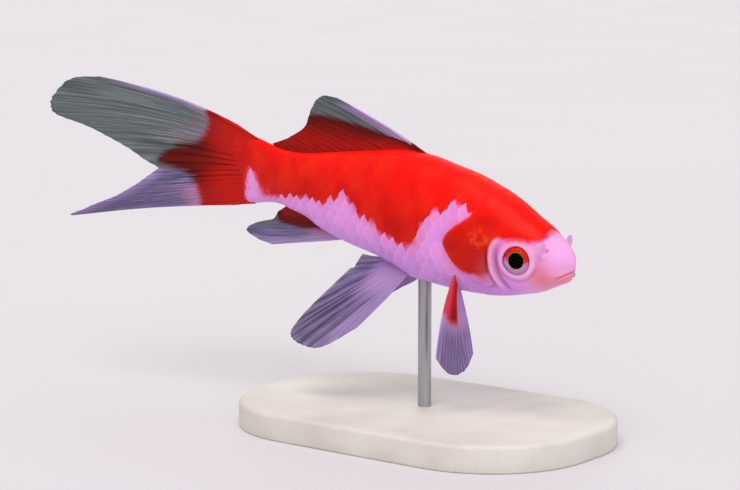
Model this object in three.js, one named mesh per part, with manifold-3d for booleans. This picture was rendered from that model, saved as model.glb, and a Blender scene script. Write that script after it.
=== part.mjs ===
// A comet goldfish as a life-size still model on a small display stand.
// Millimetres, +Z up. The fish looks along +X, its right side faces -Y, and the origin is the
// centre of the underside of the stand's base.
//
// The fish is first made straight: x is minus the distance behind the snout tip, y is to its
// left and z is above its long axis. Each finished piece is then bent along the backbone's curve.

import * as THREE from "three";
import { mergeVertices } from "three/addons/utils/BufferGeometryUtils.js";
import Module from "manifold-3d";

const wasm = await Module();
wasm.setup();

// ---------------------------------------------------------------- driving dimensions

const STANDARD_LENGTH = 92; // snout tip to the end of the tail stalk
const GAP = 0.3; // left between neighbouring pieces
const SNOUT_RINGS = 1.6; // above 1, rings crowd towards the snout
const BODY_RINGS = 32;
const BODY_SIDES = 28;
const BODY_END = 1.02; // the tail stalk's end, as a share of the standard length

// Stations of the body, as shares of the standard length:
// distance behind the snout, height of the back, depth of the belly, half width.
const STATIONS = [
  [0.0, 0.0, 0.0, 0.0],
  [0.012, 0.022, 0.029, 0.021],
  [0.04, 0.046, 0.051, 0.043],
  [0.08, 0.075, 0.0745, 0.06],
  [0.13, 0.0965, 0.096, 0.072],
  [0.2, 0.1265, 0.1185, 0.082],
  [0.3, 0.1515, 0.136, 0.088],
  [0.38, 0.159, 0.143, 0.087],
  [0.44, 0.164, 0.146, 0.085],
  [0.5, 0.162, 0.131, 0.081],
  [0.56, 0.15, 0.122, 0.074],
  [0.65, 0.126, 0.1155, 0.06],
  [0.75, 0.101, 0.099, 0.045],
  [0.8, 0.089, 0.081, 0.0375],
  [0.85, 0.08, 0.075, 0.032],
  [0.91, 0.078, 0.069, 0.0245],
  [1.0, 0.091, 0.0885, 0.011],
  [1.03, 0.095, 0.093, 0.0065],
];
const SQUARE_BACK = 2.05; // superellipse exponents of the section: 2 is an ellipse
const SQUARE_BELLY = 2.25;

// The backbone's course: distance behind the snout, turn to the fish's right, nose-down pitch.
const COURSE = [
  [0, 0, 8],
  [30, 0, 11],
  [60, -1, 9],
  [92, 5, 7],
  [115, -2, 5],
  [138, -14, 4],
  [161, -24, 4],
];
const ROLL = 3.5; // the back leans this many degrees to the fish's right
const COURSE_STEP = 0.5;

const HEAD_END = 0.285; // the nape, as a share of the standard length
const STALK_START = 0.86;

const STAND = {
  length: 88,
  width: 56,
  corner: 24,
  height: 6,
  bevel: 1,
  rod: 1.5, // radius
  rodFrom: 2, // height of the rod's foot in the base
  rodInBelly: 4,
  under: 40.5, // the rod meets the belly this far behind the snout
  axisHeight: 48, // the fish's long axis there, above the ground
};

const EYE = { behind: 11.6, out: 4.75, up: -0.1, radius: 3.7, depth: 3.0, forward: 12, upward: 3 };
const GILL_PLATE = 1.2; // thickness of a gill cover
const UNDER_GILLS = [0.1, 0.5]; // the stretch of body that lies under the gill covers
const MIDLINE_CLEAR = 0.5; // a gill cover's prism starts this far from the middle plane
const SUNK = 1.2; // how far a fin's roots start inside the body before it is cut back
const FIRST_RAY_FADE = 12; // how fast the first ray's extra thickness fades across a fin
const SLIVER = 0.02; // a cut's thin slivers are merged away, moving no surface further than this

// ---------------------------------------------------------------- curves

const radians = THREE.MathUtils.degToRad;
const mix = THREE.MathUtils.lerp;

// A smooth curve through a table's rows: value of a column at a distance, by cubic Hermite pieces.
function through(table, column) {
  const at = table.map((row) => row[0]);
  const value = table.map((row) => row[column]);
  const last = at.length - 1;
  const slope = at.map((_, i) => {
    const a = Math.max(i - 1, 0);
    const b = Math.min(i + 1, last);
    return (value[b] - value[a]) / (at[b] - at[a]);
  });
  return (x) => {
    if (x <= at[0]) return value[0] + slope[0] * (x - at[0]);
    if (x >= at[last]) return value[last] + slope[last] * (x - at[last]);
    let i = 0;
    while (x > at[i + 1]) i += 1;
    const span = at[i + 1] - at[i];
    const t = (x - at[i]) / span;
    const rise = t * t * (3 - 2 * t);
    return (
      mix(value[i], value[i + 1], rise) +
      span * t * (1 - t) * (slope[i] * (1 - t) - slope[i + 1] * t)
    );
  };
}

// The body's sizes run smoothly in the root of the distance, which rounds the snout.
const byRoot = STATIONS.map(([share, ...sizes]) => [Math.sqrt(share), ...sizes]);
const [backShare, bellyShare, widthShare] = [1, 2, 3].map((column) => through(byRoot, column));
const size = (of) => (behind) =>
  STANDARD_LENGTH * of(Math.sqrt(Math.max(behind, 0) / STANDARD_LENGTH));
const back = size(backShare);
const belly = size(bellyShare);
const halfWidth = size(widthShare);

// ---------------------------------------------------------------- the backbone's bend

const turnAt = through(COURSE, 1);
const pitchAt = through(COURSE, 2);

// Forward, left and up at a distance behind the snout.
function directions(behind) {
  const turn = radians(turnAt(behind));
  const pitch = radians(pitchAt(behind));
  const roll = radians(ROLL);
  const forward = new THREE.Vector3(
    Math.cos(pitch) * Math.cos(turn),
    -Math.cos(pitch) * Math.sin(turn),
    -Math.sin(pitch),
  );
  const level = new THREE.Vector3(Math.sin(turn), Math.cos(turn), 0);
  const upright = new THREE.Vector3().crossVectors(forward, level);
  const left = level.clone().multiplyScalar(Math.cos(roll)).addScaledVector(upright, Math.sin(roll));
  const up = upright.multiplyScalar(Math.cos(roll)).addScaledVector(level, -Math.sin(roll));
  return { forward, left, up };
}

const course = [new THREE.Vector3()];
for (let behind = 0; behind < COURSE.at(-1)[0]; behind += COURSE_STEP) {
  const middle = directions(behind + COURSE_STEP / 2).forward;
  course.push(course.at(-1).clone().addScaledVector(middle, -COURSE_STEP));
}

function backbone(behind) {
  const i = THREE.MathUtils.clamp(Math.floor(behind / COURSE_STEP), 0, course.length - 2);
  return course[i].clone().lerp(course[i + 1], behind / COURSE_STEP - i);
}

const overRod = backbone(STAND.under);

// A point of the straight fish, in its place in the posed one.
function posed(point) {
  const behind = -point.x;
  const { left, up } = directions(Math.max(behind, 0));
  return backbone(behind)
    .sub(overRod)
    .addScaledVector(left, point.y)
    .addScaledVector(up, point.z)
    .add(new THREE.Vector3(0, 0, STAND.axisHeight));
}

// ---------------------------------------------------------------- solids

function solidOf(geometry) {
  const bare = geometry.clone();
  bare.deleteAttribute("normal");
  bare.deleteAttribute("uv");
  const merged = mergeVertices(bare, 1e-4);
  return new wasm.Manifold(
    new wasm.Mesh({
      numProp: 3,
      vertProperties: new Float32Array(merged.attributes.position.array),
      triVerts: new Uint32Array(merged.index.array),
    }),
  );
}

function geometryOf(solid) {
  const { vertProperties, triVerts } = solid.getMesh();
  return new THREE.BufferGeometry()
    .setAttribute("position", new THREE.BufferAttribute(vertProperties, 3))
    .setIndex(new THREE.BufferAttribute(triVerts, 1));
}

function indexed(points, faces) {
  return new THREE.BufferGeometry()
    .setAttribute("position", new THREE.Float32BufferAttribute(points.flatMap((p) => [p.x, p.y, p.z]), 3))
    .setIndex(faces.flat());
}

// One round of the body's section, grown or shrunk all round, from the left over the back.
function section(behind, grow) {
  return Array.from({ length: BODY_SIDES }, (_, i) => {
    const angle = (2 * Math.PI * i) / BODY_SIDES;
    const [c, s] = [Math.cos(angle), Math.sin(angle)];
    const square = s > 0 ? SQUARE_BACK : SQUARE_BELLY;
    const high = (s > 0 ? back(behind) : belly(behind)) + grow;
    return new THREE.Vector3(
      -behind,
      Math.sign(c) * Math.abs(c) ** (2 / square) * (halfWidth(behind) + grow),
      Math.sign(s) * Math.abs(s) ** (2 / square) * high,
    );
  });
}

// The whole body from the snout to the tail stalk's end, or a stretch of it between two shares.
function bodySolid(grow = 0, from = 0, to = BODY_END) {
  const points = [];
  const faces = [];
  for (let ring = from > 0 ? 0 : 1; ring <= BODY_RINGS; ring += 1) {
    const share = from + (to - from) * (ring / BODY_RINGS) ** SNOUT_RINGS;
    points.push(...section(share * STANDARD_LENGTH, grow));
  }
  const rings = points.length / BODY_SIDES;
  for (let ring = 0; ring < rings - 1; ring += 1) {
    for (let i = 0; i < BODY_SIDES; i += 1) {
      const j = (i + 1) % BODY_SIDES;
      const [a, b] = [ring * BODY_SIDES + i, ring * BODY_SIDES + j];
      faces.push([a, b + BODY_SIDES, b], [a, a + BODY_SIDES, b + BODY_SIDES]);
    }
  }
  const front = points.push(new THREE.Vector3(-from * STANDARD_LENGTH + Math.max(grow, 0), 0, 0)) - 1;
  const rear = points.push(new THREE.Vector3(-to * STANDARD_LENGTH, 0, 0)) - 1;
  const lastRing = (rings - 1) * BODY_SIDES;
  for (let i = 0; i < BODY_SIDES; i += 1) {
    const j = (i + 1) % BODY_SIDES;
    faces.push([front, i, j], [rear, lastRing + j, lastRing + i]);
  }
  return solidOf(indexed(points, faces));
}

// A block that keeps the body between two shares of its length, short of each by half the gap.
function stretch(from, to) {
  const long = (to - from) * STANDARD_LENGTH - GAP;
  const block = new THREE.BoxGeometry(long, STANDARD_LENGTH, STANDARD_LENGTH);
  block.translate((-STANDARD_LENGTH * (from + to)) / 2, 0, 0);
  return solidOf(block);
}

// A prism across the fish of a side outline, between two distances to its left.
function sidePrism(outline, fromLeft, toLeft) {
  const prism = new THREE.ExtrudeGeometry(outline, {
    depth: toLeft - fromLeft,
    bevelEnabled: false,
    curveSegments: 8,
  });
  prism.rotateX(Math.PI / 2).translate(0, toLeft, 0);
  return solidOf(prism);
}

// ---------------------------------------------------------------- head

// A side outline from its corners' shares of the standard length, grown outwards all round.
function sideOutline(corners, grow, rounded) {
  const points = corners.map(([behind, up]) =>
    new THREE.Vector3(-behind, up, 0).multiplyScalar(STANDARD_LENGTH),
  );
  const course = rounded
    ? new THREE.CatmullRomCurve3(points, true, "centripetal").getPoints(24).slice(0, -1)
    : points;
  const turning = THREE.ShapeUtils.area(course) > 0 ? 1 : -1;
  const grown = course.map((point, i) => {
    const ahead = course[(i + 1) % course.length];
    const before = course[(i + course.length - 1) % course.length];
    const along = ahead.clone().sub(before).normalize();
    return new THREE.Vector2(point.x + turning * along.y * grow, point.y - turning * along.x * grow);
  });
  return new THREE.Shape(grown);
}

// The gill cover's side outline: a concave front edge behind the cheek, a pointed rear margin.
const GILL = [
  [0.17, 0.08],
  [0.187, 0.035],
  [0.197, 0.0],
  [0.193, -0.035],
  [0.178, -0.07],
  [0.2, -0.086],
  [0.232, -0.078],
  [0.275, -0.057],
  [0.302, -0.033],
  [0.321, -0.004],
  [0.305, 0.03],
  [0.262, 0.073],
  [0.215, 0.094],
];

const JAW = [
  [-0.02, -0.011],
  [0.0, -0.0145],
  [0.033, -0.026],
  [0.046, -0.034],
  [0.075, -0.056],
  [0.09, -0.1],
  [-0.02, -0.1],
];

function ellipsoid(grow) {
  const ball = new THREE.SphereGeometry(1, 20, 12);
  ball.rotateX(Math.PI / 2);
  ball.scale(EYE.radius + grow, EYE.depth + grow, EYE.radius + grow);
  return ball;
}

// An eyeball on the left (1) or right (-1), its axis a little forward and up.
function eyeSolid(side, grow) {
  const ball = ellipsoid(grow);
  ball.rotateX(radians(EYE.upward) * side);
  ball.rotateZ(-radians(EYE.forward) * side);
  ball.translate(-EYE.behind, side * EYE.out, EYE.up);
  return solidOf(ball);
}

const body = bodySolid();
const nearBody = bodySolid(GAP);
const underPlate = bodySolid(-GILL_PLATE, ...UNDER_GILLS);
const underPocket = bodySolid(-GILL_PLATE - GAP, ...UNDER_GILLS);

function gillCover(side) {
  const [near, far] = [MIDLINE_CLEAR, STANDARD_LENGTH];
  const [from, to] = side > 0 ? [near, far] : [-far, -near];
  const plate = sidePrism(sideOutline(GILL, 0, true), from, to);
  const pocket = sidePrism(sideOutline(GILL, GAP, true), from, to);
  return {
    plate: body.intersect(plate).subtract(underPlate),
    pocket: pocket.subtract(underPocket),
  };
}

const gills = { left: gillCover(1), right: gillCover(-1) };
const carved = body.subtract(gills.left.pocket).subtract(gills.right.pocket);
const jawBlock = sidePrism(sideOutline(JAW, 0, false), -STANDARD_LENGTH, STANDARD_LENGTH);
const jawRoom = sidePrism(sideOutline(JAW, GAP, false), -STANDARD_LENGTH, STANDARD_LENGTH);

// ---------------------------------------------------------------- fins

// A fin is a fan of rays. Each key ray has its root, its tip and a bow, the offset of its
// middle from a straight line, as [behind, left, up]; rays between keys are blended.
function fan(keys) {
  const column = (name, axis) => through(keys.map((key) => [key.at, key[name][axis]]), 1);
  const smooth = (name) => {
    const [x, y, z] = [0, 1, 2].map((axis) => column(name, axis));
    return (at) => new THREE.Vector3(-x(at), y(at), z(at));
  };
  const [root, tip, bow] = ["root", "tip", "bow"].map(smooth);
  return (at, along) =>
    root(at)
      .lerp(tip(at), along)
      .addScaledVector(bow(at), 4 * along * (1 - along));
}

// A closed sheet round a fan, thick at the root and at the first ray, thin at the margin.
function finSolid(surface, { rays, steps, root, edge, spine = 0.5 }) {
  const step = 1e-3;
  const sides = [[], []];
  for (let i = 0; i <= rays; i += 1) {
    for (let j = 0; j <= steps; j += 1) {
      const [at, along] = [i / rays, j / steps];
      const here = surface(at, along);
      const across = surface(at + step, along).sub(surface(at - step, along));
      const length = surface(at, along + step).sub(surface(at, along - step));
      const normal = across.cross(length).normalize();
      const thick = mix(root, edge, Math.sqrt(along)) + spine * (1 - along) * Math.exp(-FIRST_RAY_FADE * at);
      sides[0].push(here.clone().addScaledVector(normal, thick / 2));
      sides[1].push(here.clone().addScaledVector(normal, -thick / 2));
    }
  }
  const points = sides.flat();
  const other = sides[0].length;
  const row = steps + 1;
  const faces = [];
  const quad = (a, b, c, d) => faces.push([a, b, c], [a, c, d]);
  for (let i = 0; i < rays; i += 1) {
    for (let j = 0; j < steps; j += 1) {
      const a = i * row + j;
      quad(a, a + row, a + row + 1, a + 1);
      quad(other + a, other + a + 1, other + a + row + 1, other + a + row);
    }
    const [foot, top] = [i * row, i * row + steps];
    quad(foot, other + foot, other + foot + row, foot + row);
    quad(top, top + row, other + top + row, other + top);
  }
  for (let j = 0; j < steps; j += 1) {
    const last = rays * row + j;
    quad(j, j + 1, other + j + 1, other + j);
    quad(last, other + last, other + last + 1, last + 1);
  }
  const made = solidOf(indexed(points, faces));
  return made.volume() < 0 ? solidOf(indexed(points, faces.map(([a, b, c]) => [a, c, b]))) : made;
}

const onBack = (behind) => [behind, 0, back(behind) - SUNK];
const onBelly = (behind) => [behind, 0, SUNK - belly(behind)];

const DORSAL = [
  { at: 0, root: onBack(40.4), tip: [68.5, 0.5, 21.9], bow: [0, 0, 0.5] },
  { at: 0.12, root: onBack(45.3), tip: [73.2, 0.8, 21.3], bow: [0, 0.3, 0.6] },
  { at: 0.28, root: onBack(51), tip: [75.6, 0.9, 18], bow: [0, 0.5, 0.4] },
  { at: 0.5, root: onBack(60), tip: [77.3, 0.6, 13.3], bow: [0, 0.2, 0.3] },
  { at: 0.75, root: onBack(70.5), tip: [81, 0.1, 10.2], bow: [0, -0.2, 0.2] },
  { at: 1, root: onBack(81), tip: [86, 0, 7.9], bow: [0, 0, 0.1] },
];

const ANAL = [
  { at: 0, root: onBelly(60.8), tip: [84.8, -0.6, -16.4], bow: [0, -0.2, -0.1] },
  { at: 0.08, root: onBelly(62.6), tip: [89.4, -0.7, -16], bow: [0, -0.3, -0.4] },
  { at: 0.18, root: onBelly(64.8), tip: [93.2, -0.8, -14.8], bow: [0, -0.3, -0.7] },
  { at: 0.45, root: onBelly(70.5), tip: [90.5, -0.4, -12.4], bow: [0, 0.3, -0.5] },
  { at: 0.72, root: onBelly(75.5), tip: [85.4, 0, -10.6], bow: [0, 0.3, -0.2] },
  { at: 1, root: onBelly(79.5), tip: [83.4, 0.1, -8.2], bow: [0, 0, -0.1] },
];

// A paired fin from its root's two ends and its key rays' reaches: [behind, out, up].
function pairedFan(side, rootFrom, rootTo, rays) {
  return fan(
    rays.map(({ at, reach, bow }) => {
      const root = rootFrom.map((start, axis) => mix(start, rootTo[axis], at));
      const sided = ([behind, out, up]) => [behind, side * out, up];
      return {
        at,
        root: sided(root),
        tip: sided(root.map((start, axis) => start + reach[axis])),
        bow: sided(bow),
      };
    }),
  );
}

const PELVIC_ROOT = [
  [41.2, 3.2, -12.0],
  [46.4, 1.3, -10.6],
];
const PELVIC_RIGHT = [
  { at: 0, reach: [7.8, 7.2, -14], bow: [-1.2, 0.6, 0.8] },
  { at: 0.12, reach: [13.4, 9.2, -19.3], bow: [-1.3, 0.9, 0.4] },
  { at: 0.26, reach: [17.3, 10.1, -21.4], bow: [-1, 1, 0.1] },
  { at: 0.5, reach: [21.9, 10.6, -20.6], bow: [0, 0.9, 0] },
  { at: 0.75, reach: [19.7, 9.2, -16.4], bow: [0, 0.5, 0] },
  { at: 1, reach: [10.2, 3.2, -4.2], bow: [0, -0.2, 0] },
];
const PELVIC_LEFT = [
  { at: 0, reach: [10.8, 3.3, -8.6], bow: [-1, 0.6, -0.4] },
  { at: 0.25, reach: [15.5, 5.1, -13.8], bow: [-0.6, 0.8, -0.2] },
  { at: 0.5, reach: [19.2, 6.1, -12.8], bow: [0, 0.6, 0] },
  { at: 0.75, reach: [19.4, 5.7, -8.2], bow: [0, 0.2, 0] },
  { at: 1, reach: [14.1, 3.7, -3.4], bow: [0, -0.2, -0.4] },
];

const PECTORAL_ROOT = [
  [26.2, 5.8, -6.2],
  [27.6, 4.2, -8.4],
];
const PECTORAL_RIGHT = [
  { at: 0, reach: [-2, 6.8, -18.8], bow: [0, 0.6, 0] },
  { at: 0.3, reach: [-3.7, 3.5, -22.2], bow: [0, 0.9, 0] },
  { at: 0.65, reach: [-5.2, 0, -21.4], bow: [0, 0.8, 0] },
  { at: 1, reach: [-5.4, -2.6, -17.2], bow: [0, -0.6, 0] },
];
const PECTORAL_LEFT = [
  { at: 0, reach: [5, 18, -2], bow: [-1.5, 0.8, 0.6] },
  { at: 0.3, reach: [9.6, 19, -3.6], bow: [-1, 0.8, 0.8] },
  { at: 0.65, reach: [13.4, 15.4, -5.2], bow: [0, 0.6, 0.4] },
  { at: 1, reach: [13.2, 9, -5.4], bow: [0, 0.3, 0] },
];

const TAIL_START = BODY_END * STANDARD_LENGTH + GAP;
const TAIL_UPPER = [
  { at: 0, root: [TAIL_START, 0, 8.5], tip: [142, 0.5, 16.1], bow: [0, 0, 0.9] },
  { at: 0.12, root: [TAIL_START, 0, 7.5], tip: [150, 0.6, 14.9], bow: [0, 0.1, 1.2] },
  { at: 0.26, root: [TAIL_START, 0, 6.3], tip: [155.2, 0.6, 9.6], bow: [0, 0.2, 1.3] },
  { at: 0.42, root: [TAIL_START, 0, 4.9], tip: [154.2, 0.5, 5.9], bow: [0, 0.3, 1.2] },
  { at: 0.6, root: [TAIL_START, 0, 3.4], tip: [145, 0.2, 3.4], bow: [0, 0.3, 0.8] },
  { at: 0.8, root: [TAIL_START, 0, 1.7], tip: [134, -0.2, -0.3], bow: [0, 0.2, 0.4] },
  { at: 0.92, root: [TAIL_START, 0, 0.8], tip: [127.2, -0.7, -3.1], bow: [0, 0, 0.1] },
  { at: 1, root: [TAIL_START, 0, GAP / 2], tip: [123.4, -1.1, -4.2], bow: [0, 0, 0] },
];
const TAIL_LOWER = [
  { at: 0, root: [TAIL_START, 0, -8.5], tip: [140, -0.2, -17.8], bow: [0, 0, 0] },
  { at: 0.15, root: [TAIL_START, 0, -7.3], tip: [148.5, -1, -19.3], bow: [0, -0.2, -0.2] },
  { at: 0.35, root: [TAIL_START, 0, -5.6], tip: [143.5, -2.4, -16.8], bow: [0, -0.6, -0.2] },
  { at: 0.57, root: [TAIL_START, 0, -3.8], tip: [135, -3, -12.8], bow: [0, -0.9, -0.2] },
  { at: 0.8, root: [TAIL_START, 0, -1.8], tip: [127.6, -2.6, -8.4], bow: [0, -0.5, 0] },
  { at: 1, root: [TAIL_START, 0, -GAP / 2], tip: [122.8, -1.2, -4.6], bow: [0, 0, 0] },
];

// ---------------------------------------------------------------- nostril flaps

const FLAP = { behind: 6.1, out: 4.5, high: 2.5, wide: 2.8, thick: 0.6, lean: 42, sunk: 1 };

// A round-topped tab standing on the snout beside the nostril.
function nostrilFlap(side) {
  const half = FLAP.wide / 2;
  const outline = new THREE.Shape()
    .moveTo(-half, -FLAP.sunk)
    .lineTo(half, -FLAP.sunk)
    .lineTo(half, FLAP.high - half)
    .absarc(0, FLAP.high - half, half, 0, Math.PI);
  const tab = new THREE.ExtrudeGeometry(outline, {
    depth: FLAP.thick,
    bevelEnabled: false,
    curveSegments: 10,
  });
  tab.translate(0, 0, -FLAP.thick / 2);
  tab.rotateY(Math.PI / 2).rotateX(Math.PI / 2);
  tab.rotateX(-radians(FLAP.lean) * side);
  const height = back(FLAP.behind) * Math.sqrt(1 - (FLAP.out / halfWidth(FLAP.behind)) ** 2);
  tab.translate(-FLAP.behind, side * FLAP.out, height);
  return solidOf(tab).subtract(nearBody);
}

// ---------------------------------------------------------------- stand

function rodSolid(radius, from, to) {
  const rod = new THREE.CylinderGeometry(radius, radius, to - from, 24);
  rod.rotateX(Math.PI / 2).translate(0, 0, (from + to) / 2);
  return solidOf(rod);
}

function baseSolid() {
  const [x, y] = [STAND.length / 2 - STAND.bevel, STAND.width / 2 - STAND.bevel];
  const round = STAND.corner;
  const outline = new THREE.Shape()
    .moveTo(-x + round, -y)
    .lineTo(x - round, -y)
    .absarc(x - round, -y + round, round, -Math.PI / 2, 0)
    .absarc(x - round, y - round, round, 0, Math.PI / 2)
    .absarc(-x + round, y - round, round, Math.PI / 2, Math.PI)
    .absarc(-x + round, -y + round, round, Math.PI, 1.5 * Math.PI);
  const plate = new THREE.ExtrudeGeometry(outline, {
    depth: STAND.height - 2 * STAND.bevel,
    bevelThickness: STAND.bevel,
    bevelSize: STAND.bevel,
    bevelSegments: 1,
    curveSegments: 6,
  });
  plate.translate(0, 0, STAND.bevel);
  const hole = rodSolid(STAND.rod + GAP, STAND.rodFrom - GAP, STAND.height * 2);
  return solidOf(plate).subtract(hole);
}

const rodTop = STAND.axisHeight - belly(STAND.under) + STAND.rodInBelly;

// ---------------------------------------------------------------- assembly

const fish = new THREE.Group();

const finish = (colour, roughness, metalness = 0) =>
  new THREE.MeshStandardMaterial({ color: colour, roughness, metalness });
const scarlet = () => finish("#e3170f", 0.4);
const pearl = () => finish("#e6bfe2", 0.4);
const finFilm = () => finish("#b9a9c9", 0.5);
const redFin = () => finish("#a81c12", 0.5);

// Adds a straight solid to the fish, bent into its pose.
function add(name, solid, material) {
  const geometry = geometryOf(solid.asOriginal().simplify(SLIVER));
  const at = geometry.attributes.position;
  for (let i = 0; i < at.count; i += 1) {
    const point = posed(new THREE.Vector3().fromBufferAttribute(at, i));
    at.setXYZ(i, point.x, point.y, point.z);
  }
  addStanding(name, geometry, material);
}

function addStanding(name, geometry, material) {
  const mesh = new THREE.Mesh(geometry, material);
  mesh.name = name;
  fish.add(mesh);
}

// A solid of the posed fish's frame, put back into the straight fish's, near the rod.
const socket = solidOf(
  (() => {
    const hole = new THREE.CylinderGeometry(STAND.rod + GAP, STAND.rod + GAP, STANDARD_LENGTH, 24);
    hole.rotateX(Math.PI / 2);
    hole.translate(0, 0, rodTop + GAP - STANDARD_LENGTH / 2 - STAND.axisHeight);
    const { forward, left, up } = directions(STAND.under);
    const turned = new THREE.Matrix4().makeBasis(forward, left, up).transpose();
    return hole.applyMatrix4(turned).translate(-STAND.under, 0, 0);
  })(),
);

const sides = { left: 1, right: -1 };
const eyeRooms = [1, -1].map((side) => eyeSolid(side, GAP));
const head = carved
  .intersect(stretch(-0.1, HEAD_END))
  .subtract(jawRoom)
  .subtract(eyeRooms[0])
  .subtract(eyeRooms[1]);
add("head", head, scarlet());
add("lower_jaw", body.intersect(jawBlock), pearl());
add("trunk", carved.intersect(stretch(HEAD_END, STALK_START)).subtract(socket), scarlet());
add("tail_stalk", carved.intersect(stretch(STALK_START, BODY_END + 0.1)), scarlet());

for (const [name, side] of Object.entries(sides)) {
  add(`gill_cover_${name}`, gills[name].plate, scarlet());
  add(`eye_${name}`, eyeSolid(side, 0), finish("#1a0d10", 0.1));
  add(`nostril_flap_${name}`, nostrilFlap(side), pearl());
}

const median = { rays: 14, steps: 6, root: 1.4, edge: 0.5 };
add("dorsal_fin", finSolid(fan(DORSAL), median).subtract(nearBody), redFin());
add("anal_fin", finSolid(fan(ANAL), { ...median, rays: 10 }).subtract(nearBody), finFilm());

const paired = { rays: 10, steps: 8, root: 1.6, edge: 0.5 };
const pelvic = { left: PELVIC_LEFT, right: PELVIC_RIGHT };
const pectoral = { left: PECTORAL_LEFT, right: PECTORAL_RIGHT };
for (const [name, side] of Object.entries(sides)) {
  const pelvicFan = pairedFan(side, ...PELVIC_ROOT, pelvic[name]);
  const pectoralFan = pairedFan(side, ...PECTORAL_ROOT, pectoral[name]);
  add(`pelvic_fin_${name}`, finSolid(pelvicFan, paired).subtract(nearBody), finFilm());
  add(`pectoral_fin_${name}`, finSolid(pectoralFan, paired).subtract(nearBody), finFilm());
}

const lobe = { rays: 11, steps: 10, root: 1.1, edge: 0.5, spine: 0.3 };
add("tail_fin_upper", finSolid(fan(TAIL_UPPER), lobe), redFin());
add("tail_fin_lower", finSolid(fan(TAIL_LOWER), lobe), redFin());

addStanding("stand_base", geometryOf(baseSolid()), finish("#d9d7d3", 0.45));
const rod = rodSolid(STAND.rod, STAND.rodFrom, rodTop);
addStanding("stand_rod", geometryOf(rod), finish("#b8babd", 0.3, 1));

export default fish;
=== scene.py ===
# %% [markdown]
# # A comet goldfish on its display stand
# This lesson dresses the plain solids of a goldfish with what the eye expects of a living one:
# a soft skin, overlapping scales, wet eyes and fins like stiffened silk. The solids come first,
# because every piece made here has to sit where they are.

import math

import bpy
import numpy as np
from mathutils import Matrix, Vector


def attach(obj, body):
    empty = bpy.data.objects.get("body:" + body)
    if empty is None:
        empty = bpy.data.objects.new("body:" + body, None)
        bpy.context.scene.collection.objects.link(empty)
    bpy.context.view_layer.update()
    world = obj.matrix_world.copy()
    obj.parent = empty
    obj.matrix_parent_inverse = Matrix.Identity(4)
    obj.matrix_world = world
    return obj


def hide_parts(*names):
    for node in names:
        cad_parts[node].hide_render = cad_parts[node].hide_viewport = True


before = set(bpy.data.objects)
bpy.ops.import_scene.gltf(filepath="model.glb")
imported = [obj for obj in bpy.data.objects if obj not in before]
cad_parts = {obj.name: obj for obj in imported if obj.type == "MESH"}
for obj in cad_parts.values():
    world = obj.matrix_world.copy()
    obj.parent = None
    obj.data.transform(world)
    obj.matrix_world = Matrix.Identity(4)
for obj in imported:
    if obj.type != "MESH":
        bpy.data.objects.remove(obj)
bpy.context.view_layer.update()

# %% [markdown]
# ## The fish before it is bent
# A fish is easiest to shape straight. Every point is first given as three numbers in
# millimetres: how far behind the snout it lies, how far to the left of the middle plane, and
# how far above the long axis. The tables below are the body's own sizes, as shares of its
# length, and the course that its backbone takes. Smooth curves run through their rows.

# %% Sizes of the body
MM = 0.001
LENGTH = 92.0
# The tail fin starts at this share of the length.
BODY_END = 1.02
# Behind, height of the back, depth of the belly and half width, as shares of the length.
BACK, BELLY, WIDTH = 1, 2, 3
STATIONS = [
    (0.0, 0.0, 0.0, 0.0),
    (0.012, 0.022, 0.029, 0.021),
    (0.04, 0.046, 0.051, 0.043),
    (0.08, 0.075, 0.0745, 0.06),
    (0.13, 0.0965, 0.096, 0.072),
    (0.2, 0.1265, 0.1185, 0.082),
    (0.3, 0.1515, 0.136, 0.088),
    (0.38, 0.159, 0.143, 0.087),
    (0.44, 0.164, 0.146, 0.085),
    (0.5, 0.162, 0.131, 0.081),
    (0.56, 0.15, 0.122, 0.074),
    (0.65, 0.126, 0.1155, 0.06),
    (0.75, 0.101, 0.099, 0.045),
    (0.8, 0.089, 0.081, 0.0375),
    (0.85, 0.08, 0.075, 0.032),
    (0.91, 0.078, 0.069, 0.0245),
    (1.0, 0.091, 0.0885, 0.011),
    (1.03, 0.095, 0.093, 0.0065),
    (1.055, 0.098, 0.096, 0.0035),
    (1.08, 0.101, 0.099, 0.0006),
]
# The skin runs on to this share, between the halves of the tail fin's root.
SKIN_END = 1.08
# The power of the section's curve: 2 is an ellipse, and more is squarer.
SQUARE_BACK = 2.05
SQUARE_BELLY = 2.25

# Behind in mm, then how far the backbone is turned to the left and pitched down, in degrees.
TURN, PITCH = 1, 2
COURSE = [
    (0, 0, 8),
    (30, 0, 11),
    (60, -1, 9),
    (92, 5, 7),
    (115, -2, 5),
    (138, -14, 4),
    (161, -24, 4),
]
ROLL = math.radians(3.5)
COURSE_STEP = 0.5
OVER_ROD = 40.5
AXIS_HEIGHT = 48.0


def through(table, column):
    """A smooth curve through a table's rows, for whole arrays of places at once."""
    at = np.array([row[0] for row in table], float)
    value = np.array([row[column] for row in table], float)
    before = np.maximum(np.arange(len(at)) - 1, 0)
    after = np.minimum(np.arange(len(at)) + 1, len(at) - 1)
    slope = (value[after] - value[before]) / (at[after] - at[before])

    def curve(x):
        x = np.asarray(x, float)
        i = np.clip(np.searchsorted(at, x, "right") - 1, 0, len(at) - 2)
        span = at[i + 1] - at[i]
        t = np.clip((x - at[i]) / span, 0, 1)
        eased = t * t * (3 - 2 * t)
        between = value[i] + (value[i + 1] - value[i]) * eased
        between += span * t * (1 - t) * (slope[i] * (1 - t) - slope[i + 1] * t)
        beyond = np.where(x < at[0], slope[0] * (x - at[0]), 0)
        return between + beyond + np.where(x > at[-1], slope[-1] * (x - at[-1]), 0)

    return curve


by_root = [(math.sqrt(row[0]), *row[1:]) for row in STATIONS]
shares = {column: through(by_root, column) for column in (BACK, BELLY, WIDTH)}


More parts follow.
